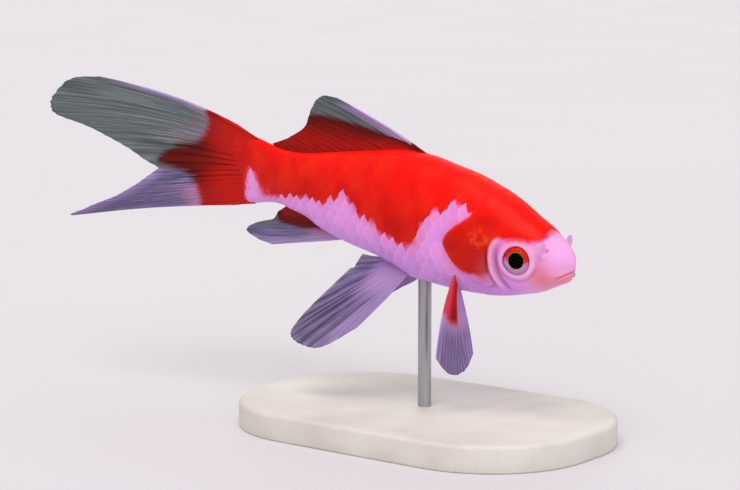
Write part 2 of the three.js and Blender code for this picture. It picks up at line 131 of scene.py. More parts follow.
def body_size(column, behind):
    """One of the body's three sizes, in mm, at a distance behind the snout."""
    return LENGTH * shares[column](np.sqrt(np.maximum(behind, 0) / LENGTH))


print("deepest:", round(float(body_size(BACK, 40) + body_size(BELLY, 40)), 1), "mm")

# %% [markdown]
# ## The section, and the bend of the backbone
# A slice through the fish is a slightly squared ellipse: `section` gives a point of it.
# `posed` then carries any straight point along the backbone, which droops towards the snout,
# leans a little to the right and swings at the tail. All pieces go through it, so they keep
# their places against each other.


# %% Section and pose
def section(behind, around, out=0.0):
    """A point of the skin: around is the angle from the left side over the back."""
    c, s = np.cos(around), np.sin(around)
    square = np.where(s > 0, SQUARE_BACK, SQUARE_BELLY)
    high = np.where(s > 0, body_size(BACK, behind), body_size(BELLY, behind)) + out
    left = np.sign(c) * np.abs(c) ** (2 / square) * (body_size(WIDTH, behind) + out)
    up = np.sign(s) * np.abs(s) ** (2 / square) * high
    return np.stack([behind + 0 * left, left, up], -1)


def unit(vectors):
    """The same directions, each one long."""
    return vectors / np.maximum(np.linalg.norm(vectors, axis=-1, keepdims=True), 1e-12)


def section_normal(behind, around):
    """The outward direction of the smooth body there, in the straight fish."""
    small, turn = 0.02, 0.004
    behind = np.maximum(behind, small * 2)
    lengthwise = section(behind + small, around) - section(behind - small, around)
    round_it = section(behind, around + turn) - section(behind, around - turn)
    return unit(np.cross(round_it, lengthwise))


turn_at, pitch_at = through(COURSE, TURN), through(COURSE, PITCH)


def directions(behind):
    """Forward, left and up, as the posed backbone has them there."""
    turn, pitch = np.radians(turn_at(behind)), np.radians(pitch_at(behind))
    nothing = 0 * turn
    forward = np.stack(
        [np.cos(pitch) * np.cos(turn), -np.cos(pitch) * np.sin(turn), -np.sin(pitch)], -1
    )
    level = np.stack([np.sin(turn), np.cos(turn), nothing], -1)
    upright = np.cross(forward, level)
    left = level * math.cos(ROLL) + upright * math.sin(ROLL)
    up = upright * math.cos(ROLL) - level * math.sin(ROLL)
    return forward, left, up


stops = np.arange(0, COURSE[-1][0] + COURSE_STEP, COURSE_STEP)
steps_aft = -COURSE_STEP * directions(stops[:-1] + COURSE_STEP / 2)[0]
backbone = np.vstack([np.zeros(3), np.cumsum(steps_aft, axis=0)])


def on_backbone(behind):
    """The backbone's place, in mm from the tip of the snout; ahead of it, a straight line."""
    place = np.stack([np.interp(behind, stops, backbone[:, k]) for k in range(3)], -1)
    ahead = directions(np.zeros(1))[0] * np.minimum(behind, 0)[..., None]
    return place - ahead


def posed(points):
    """Straight points, (behind, left, up) in mm, in their place in the posed fish."""
    behind = points[..., 0]
    _, left, up = directions(np.maximum(behind, 0))
    place = on_backbone(behind) - on_backbone(np.array(OVER_ROD))
    place = place + left * points[..., 1:2] + up * points[..., 2:3]
    return place + np.array([0, 0, AXIS_HEIGHT])


print("snout at", posed(np.zeros((1, 3)))[0].round(1), "mm")

# %% [markdown]
# ## Three small helpers
# A mesh is a list of places and a list of faces. `piece` makes one from arrays, turned to
# metres, and smooth. `tube_faces` gives the faces between the rings of a tube, and `keep`
# stores what was worked out for each point, so that a material can read it there.


# %% Mesh helpers
def piece(name, points, faces, smooth=True):
    """An object from places in mm and faces."""
    mesh = bpy.data.meshes.new(name)
    mesh.from_pydata((points * MM).tolist(), [], [list(map(int, f)) for f in faces])
    mesh.validate()
    mesh.polygons.foreach_set("use_smooth", [smooth] * len(mesh.polygons))
    made = bpy.data.objects.new(name, mesh)
    bpy.context.scene.collection.objects.link(made)
    return made


def tube_faces(rings, sides, first=0):
    """Quads between rings of a tube, whose rings run from its front to its rear."""
    i, j = np.meshgrid(np.arange(rings - 1), np.arange(sides), indexing="ij")
    a = first + i * sides + j
    b = first + i * sides + (j + 1) % sides
    return np.stack([a, a + sides, b + sides, b], -1).reshape(-1, 4)


def keep(mesh, name, values):
    """Stores one number, or three, on every point of a mesh for its material to read."""
    values = np.asarray(values, float)
    kind = "FLOAT" if values.ndim == 1 else "FLOAT_VECTOR"
    field = "value" if values.ndim == 1 else "vector"
    mesh.attributes.new(name, kind, "POINT").data.foreach_set(field, values.ravel())


# %% [markdown]
# ## The forms of the head
# A goldfish has a blunt snout, thick lips, a nostril with a flap on each side, a ringed eye
# and a bony cover over the gills. Each form is a small rise or fall of the skin, in
# millimetres, worked out from how far a point lies from the eye, the lips or the gill margin.
# That is quicker to adjust than a sculpted mesh, and both sides come out alike. First come
# the places of the forms, in millimetres, and the helpers that measure from them.

# %% Places of the head's forms
EYE = {"behind": 11.6, "out": 4.75, "up": -0.1, "radius": 3.7, "forward": 12, "upward": 3}
IRIS = 3.05
EYE_RIM = 3.7
NOSTRIL = (5.9, 4.4, 2.8)
LIP_CORNER = 2.6

# The rear edge of the cheek, from over the eye to the throat: behind, up.
CHEEK_EDGE = [
    (15.6, 6.4), (16.9, 4.2), (17.9, 2.1), (18.1, 0.0), (17.8, -2.0), (17.2, -4.1),
    (16.1, -6.1), (15.1, -7.6),
]
# The gill cover's margin, as shares of the length: behind, up.
GILL = [
    (0.17, 0.08), (0.187, 0.035), (0.197, 0.0), (0.193, -0.035), (0.178, -0.07), (0.2, -0.086),
    (0.232, -0.078), (0.275, -0.057), (0.302, -0.033), (0.321, -0.004), (0.305, 0.03),
    (0.262, 0.073), (0.215, 0.094),
]


def rounded(corners, closed, count=8):
    """A smooth line through corners, with count points to each stretch."""
    corners = np.array(corners, float)
    number = len(corners)
    line = []
    for k in range(number if closed else number - 1):
        if closed:
            a, b, c, d = (corners[(k + step) % number] for step in (-1, 0, 1, 2))
        else:
            b, c = corners[k], corners[k + 1]
            a = corners[k - 1] if k else 2 * b - c
            d = corners[k + 2] if k + 2 < number else 2 * c - b
        t = np.linspace(0, 1, count, endpoint=False)[:, None]
        line.append(0.5 * (2 * b + (c - a) * t + (2 * a - 5 * b + 4 * c - d) * t**2
                           + (3 * b - a - 3 * c + d) * t**3))
    return np.vstack(line + ([] if closed else [corners[-1:]]))


def distance_to(line, places, closed=False):
    """How far each place is from a line, and on which side of it: left is positive."""
    ends = np.roll(line, -1, axis=0) if closed else line[1:]
    starts = line if closed else line[:-1]
    best = np.full(len(places), 1e9)
    side = np.zeros(len(places))
    for a, b in zip(starts, ends):
        along = b - a
        t = np.clip(((places - a) @ along) / max(along @ along, 1e-12), 0, 1)
        gap = places - a - t[:, None] * along
        far = np.hypot(gap[:, 0], gap[:, 1])
        turn = along[0] * (places[:, 1] - a[1]) - along[1] * (places[:, 0] - a[0])
        nearer = far < best
        best = np.where(nearer, far, best)
        side = np.where(nearer, np.sign(turn), side)
    return best, side


def inside(outline, places):
    """Which places lie inside a closed outline."""
    ends = np.roll(outline, -1, axis=0)
    crossings = np.zeros(len(places), int)
    for a, b in zip(outline, ends):
        spans = (a[1] > places[:, 1]) != (b[1] > places[:, 1])
        reach = a[0] + (places[:, 1] - a[1]) * (b[0] - a[0]) / (b[1] - a[1] + 1e-12)
        crossings += spans & (places[:, 0] < reach)
    return crossings % 2 == 1


def hump(x, width):
    """A soft bump: 1 at nothing, and nearly 0 at twice the width."""
    return np.exp(-((x / width) ** 2))


def rise(x, low, high):
    """A soft step: 0 below low, 1 above high."""
    t = np.clip((x - low) / (high - low), 0, 1)
    return t * t * (3 - 2 * t)


gill_line = rounded(np.array(GILL) * LENGTH, closed=True)
cheek_line = rounded(CHEEK_EDGE, closed=False)
print("gill cover:", len(gill_line), "points; cheek edge:", len(cheek_line))


# %% [markdown]
# ## Measuring from the forms
# A form is easiest to lay when each point knows how far it is from it. Three such
# distances serve the shape and the colour of the head alike: from the axis of the eye, from
# the margin of the gill cover and from the rear edge of the cheek.


# %% Distances on the head
def eye_axis(side):
    """The direction in which an eye looks; side is 1 for the left and -1 for the right."""
    forward, upward = math.radians(EYE["forward"]), math.radians(EYE["upward"])
    return np.array(
        [-math.sin(forward) * math.cos(upward), side * math.cos(forward) * math.cos(upward),
         math.sin(upward)]
    )


def eye_centre(side):
    return np.array([EYE["behind"], side * EYE["out"], EYE["up"]])


def from_eye(points):
    """How far each point of the skin is from the axis of the eye on its own side."""
    far = np.full(len(points), 99.0)
    for side in (1, -1):
        reach = points - eye_centre(side)
        along = reach @ eye_axis(side)
        own = np.sign(points[:, 1]) == side
        radial = np.linalg.norm(reach - along[:, None] * eye_axis(side), axis=1)
        far = np.where(own & (along > 0), radial, far)
    return far


def lip_height(left):
    """The height of the slit between the lips, which drops towards its corners."""
    return -1.25 - 1.05 * np.abs(left / LIP_CORNER) ** 2.5


def gill_field(points):
    """Distance inside the gill cover's margin, in mm: negative outside it."""
    places = points[:, [0, 2]]
    gap, _ = distance_to(gill_line, places, closed=True)
    return np.where(inside(gill_line, places), gap, -gap)


def cheek_field(points):
    """Distance behind the cheek's rear edge, in mm: negative in front of it."""
    gap, side = distance_to(cheek_line, points[:, [0, 2]])
    return gap * side


print("the eyes look along", [eye_axis(side).round(2).tolist() for side in (1, -1)])

# %% [markdown]
# ## Rises and falls of the skin
# A rise is a height in millimetres times a soft bump over a distance: `0.36 * hump(cheek +
# 0.7, 0.6)` is a ridge 0.36 high, 0.7 in front of the cheek's edge and 0.6 to each side. A
# groove is the same with a minus. Soft steps keep each form to its own part of the head.


# %% Eye, cheek and gill cover
def eye_forms(eye):
    """The skin's own rim round the eye, and the socket within it, which sinks in two steps."""
    rim = 0.21 * hump(eye - EYE_RIM, 0.5) - 0.14 * hump(eye - 4.9, 0.5)
    socket = -2.15 * (1 - rise(eye, IRIS - 0.12, IRIS + 0.15))
    socket -= 0.25 * (1 - rise(eye, IRIS + 0.15, EYE_RIM - 0.05))
    return rim, socket


def cheek_forms(cheek, up, on_side):
    """The cheek's raised rear edge, and the step down behind it."""
    ends = rise(up, -8.2, -6.4) * (1 - rise(up, 2.8, 4.4)) * on_side
    ridge = 0.36 * hump(cheek + 0.7, 0.6) - 0.2 * hump(cheek + 2.0, 0.6)
    drop = -0.34 * rise(cheek, -0.22, 0.28) * (1 - rise(cheek, 0.4, 3.5))
    return (ridge + drop) * ends * rise(cheek, -3, -2) * (1 - rise(cheek, 3, 4))


def gill_forms(gill, cheek, behind, up, on_side):
    """The plate of the gill cover, the crease round it and the joint of its lower bone."""
    behind_cheek = rise(cheek, 0.1, 1.0)
    plate = 0.42 * rise(gill, -0.05, 0.3) + 0.12 * rise(gill, 0.3, 3)
    crease = -0.3 * hump(gill + 0.35, 0.4)
    form = (plate + crease) * behind_cheek * on_side * (1 - rise(up, 2.0, 6.5))
    joint = -0.14 * hump(up + 3.2 + 0.22 * (behind - 20), 0.32) * rise(gill, 0.6, 1.6)
    return form + joint * behind_cheek


# %% Mouth and nostrils
def mouth_forms(behind, out, slit):
    """Two lips with the slit between them, a fold above and below, and a dimple at the corner."""
    mouth = rise(-out, -LIP_CORNER - 0.7, -LIP_CORNER + 0.4) * (1 - rise(behind, 2.2, 3.6))
    lips = 0.04 * hump(slit - 0.62, 0.42) + 0.16 * hump(slit + 0.6, 0.42)
    lips -= 0.38 * hump(slit, 0.15)
    folds = -0.06 * hump(slit - 1.45, 0.3) - 0.2 * hump(slit + 1.4, 0.3)
    corner = np.hypot(behind - 2.9, slit + 0.1)
    return (lips + folds) * mouth - 0.2 * hump(corner, 0.6) * rise(out, 1.8, 2.4)


def nostril_pit(behind, up):
    """How far a point lies from the front opening of the nostril."""
    return np.hypot(behind - NOSTRIL[0] + 0.5, up - NOSTRIL[2] - 0.25)


def nostril_forms(behind, out, up):
    """A low collar round two openings, with the bridge between them that carries the flap."""
    rear_opening = np.hypot(behind - NOSTRIL[0] - 0.55, up - NOSTRIL[2] + 0.1)
    collar = np.hypot(behind - NOSTRIL[0], up - NOSTRIL[2])
    form = 0.2 * hump(collar - 1.1, 0.5) - 0.5 * hump(nostril_pit(behind, up), 0.36)
    return (form - 0.4 * hump(rear_opening, 0.36)) * rise(out, 2.2, 3.2)


# %% Relief of the head
def head_relief(points):
    """How far the skin stands out from the smooth body, and the three distances, in mm."""
    behind, left, up = points.T
    out = np.abs(left)
    fields = {"eye": from_eye(points), "gill": gill_field(points), "cheek": cheek_field(points)}
    eye, gill, cheek = fields["eye"], fields["gill"], fields["cheek"]
    on_side = rise(out, 1.5, 4)
    rim, socket = eye_forms(eye)
    cheek_form = cheek_forms(cheek, up, on_side)
    gill_form = gill_forms(gill, cheek, behind, up, on_side)
    mouth_form = mouth_forms(behind, out, up - lip_height(left))
    nostril = nostril_forms(behind, out, up)

    brow = -0.28 * hump(behind - 4.0, 1.5) * rise(up, 3, 6)
    snout = 0.15 * hump(np.hypot(behind - 2.0, up - 2.4), 2.0)
    snout -= 0.6 * hump(np.hypot(behind, up + 0.3), 2.4)
    chin = 0.3 * hump(np.hypot(behind - 1.8, up + 3.0), 1.8)
    jowl = 0.3 * hump(np.hypot(behind - 8.5, up + 5.6), 2.4)
    hollow = -0.22 * hump(np.hypot(behind - 7.0, up - 0.2), 1.6) * on_side
    throat = np.interp(behind, [8, 14, 20, 26], [0.5, 2.6, 4.6, 6.2])
    throat_form = -0.3 * hump(out - throat, 0.35) * rise(-up, 5, 7) * hump(behind - 15, 6)

    relief = socket + rim + cheek_form + gill_form * (1 - rise(-eye, -5, -4)) + mouth_form
    relief = relief + nostril + brow + snout + chin + jowl + hollow + throat_form
    return relief, fields


chin_tip = section(np.array([2.0]), np.array([-np.pi / 2]))
print("the chin stands out", round(float(head_relief(chin_tip)[0][0]), 2), "mm")

# %% [markdown]
# ## One skin, from the lips to the tail
# The skin is a tube of rings. Rings stand close together at the snout, where the lips and
# nostrils need them, and further apart along the trunk, where scales cover it. It lies a
# little inside the solids there, by the depth of the scales. The scales and their bed thin
# out towards the head and the tail, so the step in the skin where they end is slight.

# %% Skin
SKIN_SIDES = 208
SCALE_DEPTH = 0.3
NAPE = 23.5
# Run over the forehead, then the step from ring to ring there, in mm.
RING_STEPS = [(0, 0.13), (9, 0.15), (12, 0.24), (32, 0.26), (40, 0.9), (110, 0.9)]


def ring_places():
    """Distances behind the snout, a chosen step apart as measured over the forehead."""
    fine = np.linspace(0, 1, 6000) ** 2 * SKIN_END * LENGTH
    profile = np.hypot(np.diff(fine), np.diff(body_size(BACK, fine)))
    run = np.concatenate([[0], np.cumsum(profile)])
    wanted = []
    at = RING_STEPS[0][1]
    while at < run[-1] - 0.3:
        wanted.append(at)
        at += np.interp(at, *zip(*RING_STEPS))
    return np.interp(wanted + [run[-1]], run, fine)


rings = ring_places()
around = np.linspace(0, 2 * np.pi, SKIN_SIDES, endpoint=False)
grid_behind, grid_around = (g.ravel() for g in np.meshgrid(rings, around, indexing="ij"))
skin_straight = section(grid_behind, grid_around)
skin_out = section_normal(grid_behind, grid_around)
# At the very tip of the snout outward is straight ahead, so the rings there never cross.
ahead = 1 - rise(grid_behind, 0.0, 0.2)
skin_out = unit(skin_out * (1 - ahead)[:, None] + np.outer(ahead, [-1.0, 0.0, 0.0]))


def scaled_zone(points):
    """1 where scales cover the skin, 0 on the bare head, with a short way between."""
    behind, left, up = points.T
    nape = NAPE - 0.12 * np.maximum(up, 0)
    gill = gill_field(points)
    below = rise(-up, 6, 9) * 3
    return rise(behind, nape - 0.6 - below, nape + 0.6 - below) * rise(-gill, 0.05, 0.7)


def thin_end(behind):
    """The scales and the bed under them thin out towards the head and the tail fin."""
    return (1 - 0.6 * rise(behind, 89, 96)) * (0.4 + 0.6 * rise(behind, 22, 42))


relief, fields = head_relief(skin_straight)
zone = scaled_zone(skin_straight) * thin_end(grid_behind)
zone = zone * (1 - rise(grid_behind, 95.6, 96.6))
skin_straight = skin_straight + skin_out * (relief - SCALE_DEPTH * zone)[:, None]

tip = skin_straight[:SKIN_SIDES].mean(axis=0, keepdims=True)
rear = np.array([[SKIN_END * LENGTH, 0.0, 0.0]])
all_straight = np.vstack([skin_straight, tip, rear])
count = len(skin_straight)
next_side = (np.arange(SKIN_SIDES) + 1) % SKIN_SIDES
last = count - SKIN_SIDES
faces = tube_faces(len(rings), SKIN_SIDES).tolist()
faces += [[count, i, j] for i, j in enumerate(next_side)]
faces += [[count + 1, last + j, last + i] for i, j in enumerate(next_side)]
print("skin:", len(all_straight), "points,", len(rings), "rings")

# %% [markdown]
# ## Where the red ends
# The fish is scarlet above and pearly below. The border runs in short fingers along the
# trunk, steps up behind the gill cover and sweeps over the cheek. It is one line in the
# side view. `above_border` says how many millimetres a point lies above it, and the
# materials turn that into colour, mostly scale by scale on the trunk and softly on bare skin.

# %% Markings
# Behind, up: the border of the red, from the forehead back to the root of the tail.
BORDER = [
    (6.2, 12.0), (6.6, 7.2), (6.4, 5.9), (7.0, 4.9), (8.9, 4.1), (11.3, 3.8), (14.4, 3.6),
    (16.4, 3.6), (17.3, 1.0), (17.4, -3.4), (18.4, -4.9), (20.4, -5.3), (23.2, -5.6),
    (26.2, -4.7), (28.4, -2.4), (29.6, -0.3), (28.0, 2.8), (25.4, 5.4), (24.0, 7.0),
    (26.3, 8.6), (28.5, 8.2), (30.2, 7.0), (32.3, 5.1), (35.8, 2.7), (37.0, -1.8), (38.9, -4.7),
    (42.7, -3.9), (47.3, -3.4), (50.5, -1.9), (55.5, -0.5), (59.8, 2.3), (65.2, -1.4),
    (71.9, -1.9), (79.8, -3.3), (84.8, -4.5), (87.7, -3.7), (90.0, -1.8), (91.8, 0.5),
    (93.2, 1.0), (94.2, -3.5), (95.0, -12.0),
]
border_line = rounded(BORDER, closed=False, count=5)
border_sides = np.vstack([border_line, [(104, -12), (104, 40), (6.2, 40)]])


def above_border(points):
    """How far the points lie on the red side of the border, in mm; negative on the pearl."""
    behind, left, up = points.T
    shift = np.where(left > 0, 0.8 * np.sin(behind * 0.5), 0.0)
    places = np.stack([behind, up + shift], -1)
    gap, _ = distance_to(border_line, places)
    island = 0.8 - np.hypot((behind - 86.9) * 0.6, up + 4.0)
    return np.maximum(np.where(inside(border_sides, places), gap, -gap), island)


skin_red = above_border(section(grid_behind, grid_around))
print("red share of the skin:", round(float((skin_red > 0).mean()), 2))

# %% [markdown]
# ## Skin as a mesh
# Each point keeps its place in the straight fish and how far it lies above the border, so
# the material can paint by them wherever the body bends. The border is drawn out softly
# behind the cheek and round the eye. The extra map, called OFBake, is a flat unwrap.


# %% Skin mesh
# A flat map keeps this share free along its edges, and the rest is used.
MAP_EDGE, MAP_USED = 0.02, 0.96


def unwrap(behind, around_share):
    """A place on the flat map of the skin: 0 to 1 along the fish and 0 to 1 around it."""
    return MAP_EDGE + MAP_USED * np.stack([behind / 100, around_share], -1)


def bake_map(made, loop_places):
    """Gives a piece its flat map, a place for each corner of each face."""
    layer = made.data.uv_layers.new(name="OFBake")
    layer.data.foreach_set("uv", np.asarray(loop_places, float).ravel())
    made.data.uv_layers.active = layer


def loop_points(made):
    """The point that each corner of each face stands on."""
    indices = np.empty(len(made.data.loops), int)
    made.data.loops.foreach_get("vertex_index", indices)
    return indices


skin = piece("skin", posed(all_straight), faces)
smooth_straight = np.vstack([section(grid_behind, grid_around), tip, rear])
keep(skin.data, "fish", smooth_straight)
softness = 1 + hump(np.hypot(grid_behind - 19.5, smooth_straight[:count, 2] + 3.0), 3.0)
softness += 1.2 * hump((grid_behind - 11) / 5, 1) * (grid_behind < 17)
keep(skin.data, "red", np.append(skin_red / softness, [-2.0, 1.0]))

# On the flat map, the last face of each ring runs on past 1 instead of back to 0.
corner = loop_points(skin)
corner_share = np.append(grid_around / (2 * np.pi), [0.5, 0.5])[corner]
corner_behind = np.append(grid_behind, [0.0, SKIN_END * LENGTH])[corner]
starts = np.empty(len(skin.data.polygons), int)
skin.data.polygons.foreach_get("loop_start", starts)
of_face = np.searchsorted(starts, np.arange(len(corner)), "right") - 1
share_top = np.zeros(len(starts))
np.maximum.at(share_top, of_face, corner_share)
wraps = (share_top[of_face] - corner_share > 0.5) & (corner < count)
bake_map(skin, unwrap(corner_behind, corner_share + wraps))
print("skin:", len(skin.data.polygons), "faces")

# %% [markdown]
# ## The plan of the scales
# A goldfish has about 30 scales along its side line and 13 rows from back to belly. They
# overlap like roof tiles, each row half a scale behind its neighbours. The plan is drawn
# flat first: along the fish in one direction, and round the body as a share of its girth in
# the other, so the rows close up towards the tail as they do on the living fish.

# %% Plan of the scales
ROWS = 26
# Behind the snout, then the distance from one scale of a row to the next, in mm.
SCALE_STEP = [(20, 2.75), (50, 2.6), (75, 2.15), (96, 1.6)]
FIRST_SCALE, LAST_SCALE = 16.0, 97.0
# The last scales end here on the side, and this much further forward at the back.
SCALES_END, SHORTER_ABOVE = 94.6, 5.0

table_behind = np.linspace(0.5, 100, 200)
table_angle = np.linspace(np.pi / 2, -np.pi / 2, 721)
half_girth = np.zeros(len(table_behind))
share_of_angle = np.zeros((len(table_behind), len(table_angle)))
for i, behind in enumerate(table_behind):
    loop = section(np.full(len(table_angle), behind), table_angle)
    run = np.concatenate([[0], np.cumsum(np.linalg.norm(np.diff(loop, axis=0), axis=1))])
    half_girth[i] = run[-1]
    share_of_angle[i] = run / run[-1]


def angle_round(behind, share):
    """The section's angle at a share of the girth: 0 the back, 1 the belly, 2 the back."""
    share = np.mod(share, 2)
    on_right = share > 1
    half = np.where(on_right, 2 - share, share)
    last_row = len(table_behind) - 1.001
    i = np.clip((behind - table_behind[0]) / (table_behind[1] - table_behind[0]), 0, last_row)
    low = i.astype(int)
    mix = i - low
    found = np.empty(len(half))
    for row in np.unique(low):
        here = low == row
        first = np.interp(half[here], share_of_angle[row], table_angle)
        second = np.interp(half[here], share_of_angle[row + 1], table_angle)
        found[here] = first + (second - first) * mix[here]
    return np.where(on_right, np.pi - found, found)


roots = []
for row in range(ROWS):
    at = FIRST_SCALE
    step_number = 0
    while at < LAST_SCALE:
        step = np.interp(at, *zip(*SCALE_STEP))
        if step_number % 2 == row % 2:
            roots.append((at, 2 * row / ROWS, step))
        step_number += 1
        at += step / 2
roots = np.array(roots)
half = roots[:, 2] / 2
rear_points = section(roots[:, 0] + half, angle_round(roots[:, 0] + half, roots[:, 1]))
last_edge = SCALES_END - SHORTER_ABOVE * rise(rear_points[:, 2], 0, 8)
kept = (scaled_zone(rear_points) > 0.5) & (roots[:, 0] + half < last_edge)
roots = roots[kept]
print("scales:", len(roots), "girth at the deepest:", round(float(half_girth.max() * 2), 1), "mm")

# %% [markdown]
# ## One scale, repeated by Geometry Nodes
# More than seven hundred scales are the same small plate, of only a few dozen faces, so
# Geometry Nodes lay it on every point of the plan. The tree rounds the rear edge, gives each
# plate the size kept on its point and a slight turn of its own from a fixed seed, and makes
# the copies real. One small function adds a node with its settings and its inputs, here and
# in the materials later. Hex colours are turned to linear light by one function too.

# %% Node helper
# Kinds of node that come often, and the settings they come with. A step reads a value (0)
# from low (1) to high (2) and gives one level (3) or the other (4), softly between. A mix
# goes by a share (0) from one colour (6) to the other (7), and gives its colour last (2).
MATH, STEP, MIX = "ShaderNodeMath", "ShaderNodeMapRange", "ShaderNodeMix"
NOISE, FIELD = "ShaderNodeTexNoise", "ShaderNodeAttribute"
SMOOTH = {"interpolation_type": "SMOOTHSTEP"}
COLOURS = {"data_type": "RGBA"}


def colour(hex_text):
    """A hex colour in linear light, as the shaders want it."""
    parts = [int(hex_text[i:i + 2], 16) / 255 for i in (1, 3, 5)]
    linear = [c / 12.92 if c <= 0.04045 else ((c + 0.055) / 1.055) ** 2.4 for c in parts]
    return (*linear, 1.0)


def feed(tree, made, inputs):
    """Gives each input a value, a hex colour, or the socket that feeds it."""
    for key, value in inputs.items():
        if isinstance(value, bpy.types.NodeSocket):
            tree.links.new(value, made.inputs[key])
        elif isinstance(value, str) and value.startswith("#"):
            made.inputs[key].default_value = colour(value)
        else:
            made.inputs[key].default_value = value


def node(tree, kind, inputs=None, out=None, **settings):
    """Adds a node with its settings and inputs; returns it, or the output that out names."""
    made = tree.nodes.new(kind)
    for name, value in settings.items():
        setattr(made, name, value)
    feed(tree, made, inputs or {})
    return made if out is None else made.outputs[out]


# %% Tree helpers
def node_tree(name, sizes):
    """A Geometry Nodes tree with named inputs; returns it, its input node and identifiers."""
    tree = bpy.data.node_groups.new(name, "GeometryNodeTree")
    tree.interface.new_socket("Geometry", in_out="INPUT", socket_type="NodeSocketGeometry")
    found = {}
    for label, kind in sizes.items():
        socket = tree.interface.new_socket(label, in_out="INPUT", socket_type="NodeSocket" + kind)
        found[label] = socket.identifier
    tree.interface.new_socket("Geometry", in_out="OUTPUT", socket_type="NodeSocketGeometry")
    return tree, tree.nodes.new("NodeGroupInput"), found


def finish_tree(tree, geometry, material):
    """Makes the copies real and gives them their material."""
    real = node(tree, "GeometryNodeRealizeInstances", {0: geometry}, 0)
    painted = node(tree, "GeometryNodeSetMaterial", {0: real, "Material": material}, 0)
    node(tree, "NodeGroupOutput", {0: painted})


def grown(base, tree, identifiers, values, name):
    """Runs a tree on an object and returns the result as a plain mesh object."""
    modifier = base.modifiers.new("grow", "NODES")
    modifier.node_group = tree
    for label, value in values.items():
        modifier[identifiers[label]] = value
    seen = base.evaluated_get(bpy.context.evaluated_depsgraph_get())
    mesh = bpy.data.meshes.new_from_object(seen)
    mesh.name = name
    bpy.data.objects.remove(base)
    made = bpy.data.objects.new(name, mesh)
    bpy.context.scene.collection.objects.link(made)
    return made


def places(mesh):
    """The points of a mesh as an array, in the mesh's own unit."""
    flat = np.empty(len(mesh.vertices) * 3)
    mesh.vertices.foreach_get("co", flat)
    return flat.reshape(-1, 3)


def values_of(mesh, name, width=3):
    """What `keep` stored on the points, read back: three numbers each, or one."""
    flat = np.empty(len(mesh.vertices) * width)
    mesh.attributes[name].data.foreach_get("vector" if width == 3 else "value", flat)
    return flat.reshape(-1, 3) if width == 3 else flat


# %% The tree of the scales
# On the flat plan, half the girth is this wide.
PLAN_WIDTH = 36.0
scale_material = bpy.data.materials.new("scale_scarlet_and_pearl")
tree, given, names = node_tree(
    "lay_scales",
    {"Round": "Float", "Turn": "Float", "Seed": "Int", "Material": "Material"},
)
plate = node(tree, "GeometryNodeMeshCube", {"Vertices X": 3, "Vertices Y": 9, "Vertices Z": 2}, 0)
here = node(tree, "GeometryNodeInputPosition", out=0)
marked = node(tree, "GeometryNodeStoreNamedAttribute", {0: plate, "Name": "on_scale", "Value": here},
              0, data_type="FLOAT_VECTOR", domain="POINT")
axes = node(tree, "ShaderNodeSeparateXYZ", {0: here})
across = node(tree, MATH, {0: axes.outputs[1], 1: 2.0}, 0, operation="POWER")
to_rear = node(tree, MATH, {0: axes.outputs[0], 1: 0.5}, 0, operation="ADD")
curve_in = node(tree, MATH, {0: across, 1: to_rear}, 0, operation="MULTIPLY")
curve_in = node(tree, MATH, {0: curve_in, 1: given.outputs["Round"]}, 0, operation="MULTIPLY")
shift = node(tree, "ShaderNodeCombineXYZ", {0: curve_in}, 0)
rounded_plate = node(tree, "GeometryNodeSetPosition", {0: marked, "Offset": shift}, 0)
size = node(tree, "GeometryNodeInputNamedAttribute", {"Name": "plate_size"}, 0,
            data_type="FLOAT_VECTOR")
turning = node(tree, "FunctionNodeRandomValue",
               {"Min": -1.0, "Max": 1.0, "Seed": given.outputs["Seed"]}, 1, data_type="FLOAT")
turned = node(tree, MATH, {0: turning, 1: given.outputs["Turn"]}, 0, operation="MULTIPLY")
rotation = node(tree, "ShaderNodeCombineXYZ", {2: turned}, 0)
laid = node(tree, "GeometryNodeInstanceOnPoints",
            {"Points": given.outputs[0], "Instance": rounded_plate, "Rotation": rotation,
             "Scale": size}, 0)
finish_tree(tree, laid, given.outputs["Material"])
print("scale tree:", len(tree.nodes), "nodes")

# %% [markdown]
# ## Wrapping the plan on the fish
# The flat plan is now bent round the body. Each plate starts under the one in front and
# rises a little to its rear edge, so the edges catch the light as on the real fish. The
# colour is decided more by the scale than by the point, which gives the border its ragged
# fingers.

# %% Plates on the plan
# A plate's length in steps of its row, and its width in rows.
PLATE_STEPS, PLATE_ROWS = 2.3, 1.96
SIZE_SPREAD, BORDER_SPREAD = 0.03, 0.45
# The colour of a scale is read this many steps behind its root, where it shows.
SHOWN_AT = 0.7
plan = bpy.data.meshes.new("plan")
plan.from_pydata([(b, s * PLAN_WIDTH, 0) for b, s, _ in roots], [], [])
chance = np.random.default_rng(7)
plate_width = PLAN_WIDTH * 2 / ROWS * PLATE_ROWS
plate_size = np.stack([roots[:, 2] * PLATE_STEPS, np.full(len(roots), plate_width),
                       np.ones(len(roots))], -1)
plate_size[:, :2] *= chance.uniform(1 - SIZE_SPREAD, 1 + SIZE_SPREAD, (len(roots), 1))
keep(plan, "plate_size", plate_size)
shown_behind = roots[:, 0] + SHOWN_AT * roots[:, 2]
middle = section(shown_behind, angle_round(shown_behind, roots[:, 1]))
keep(plan, "red_here", above_border(middle) + chance.normal(0, BORDER_SPREAD, len(roots)))
keep(plan, "tint", chance.uniform(-1, 1, len(roots)))
keep(plan, "root_place", np.column_stack([roots[:, 0], roots[:, 1], np.zeros(len(roots))]))
bed = bpy.data.objects.new("plan", plan)
bpy.context.scene.collection.objects.link(bed)
scales = grown(bed, tree, names,
               {"Round": -1.1, "Turn": 0.05, "Seed": 11, "Material": scale_material}, "scales")
print("plates:", len(roots), "of", len(scales.data.polygons) // len(roots), "faces each")

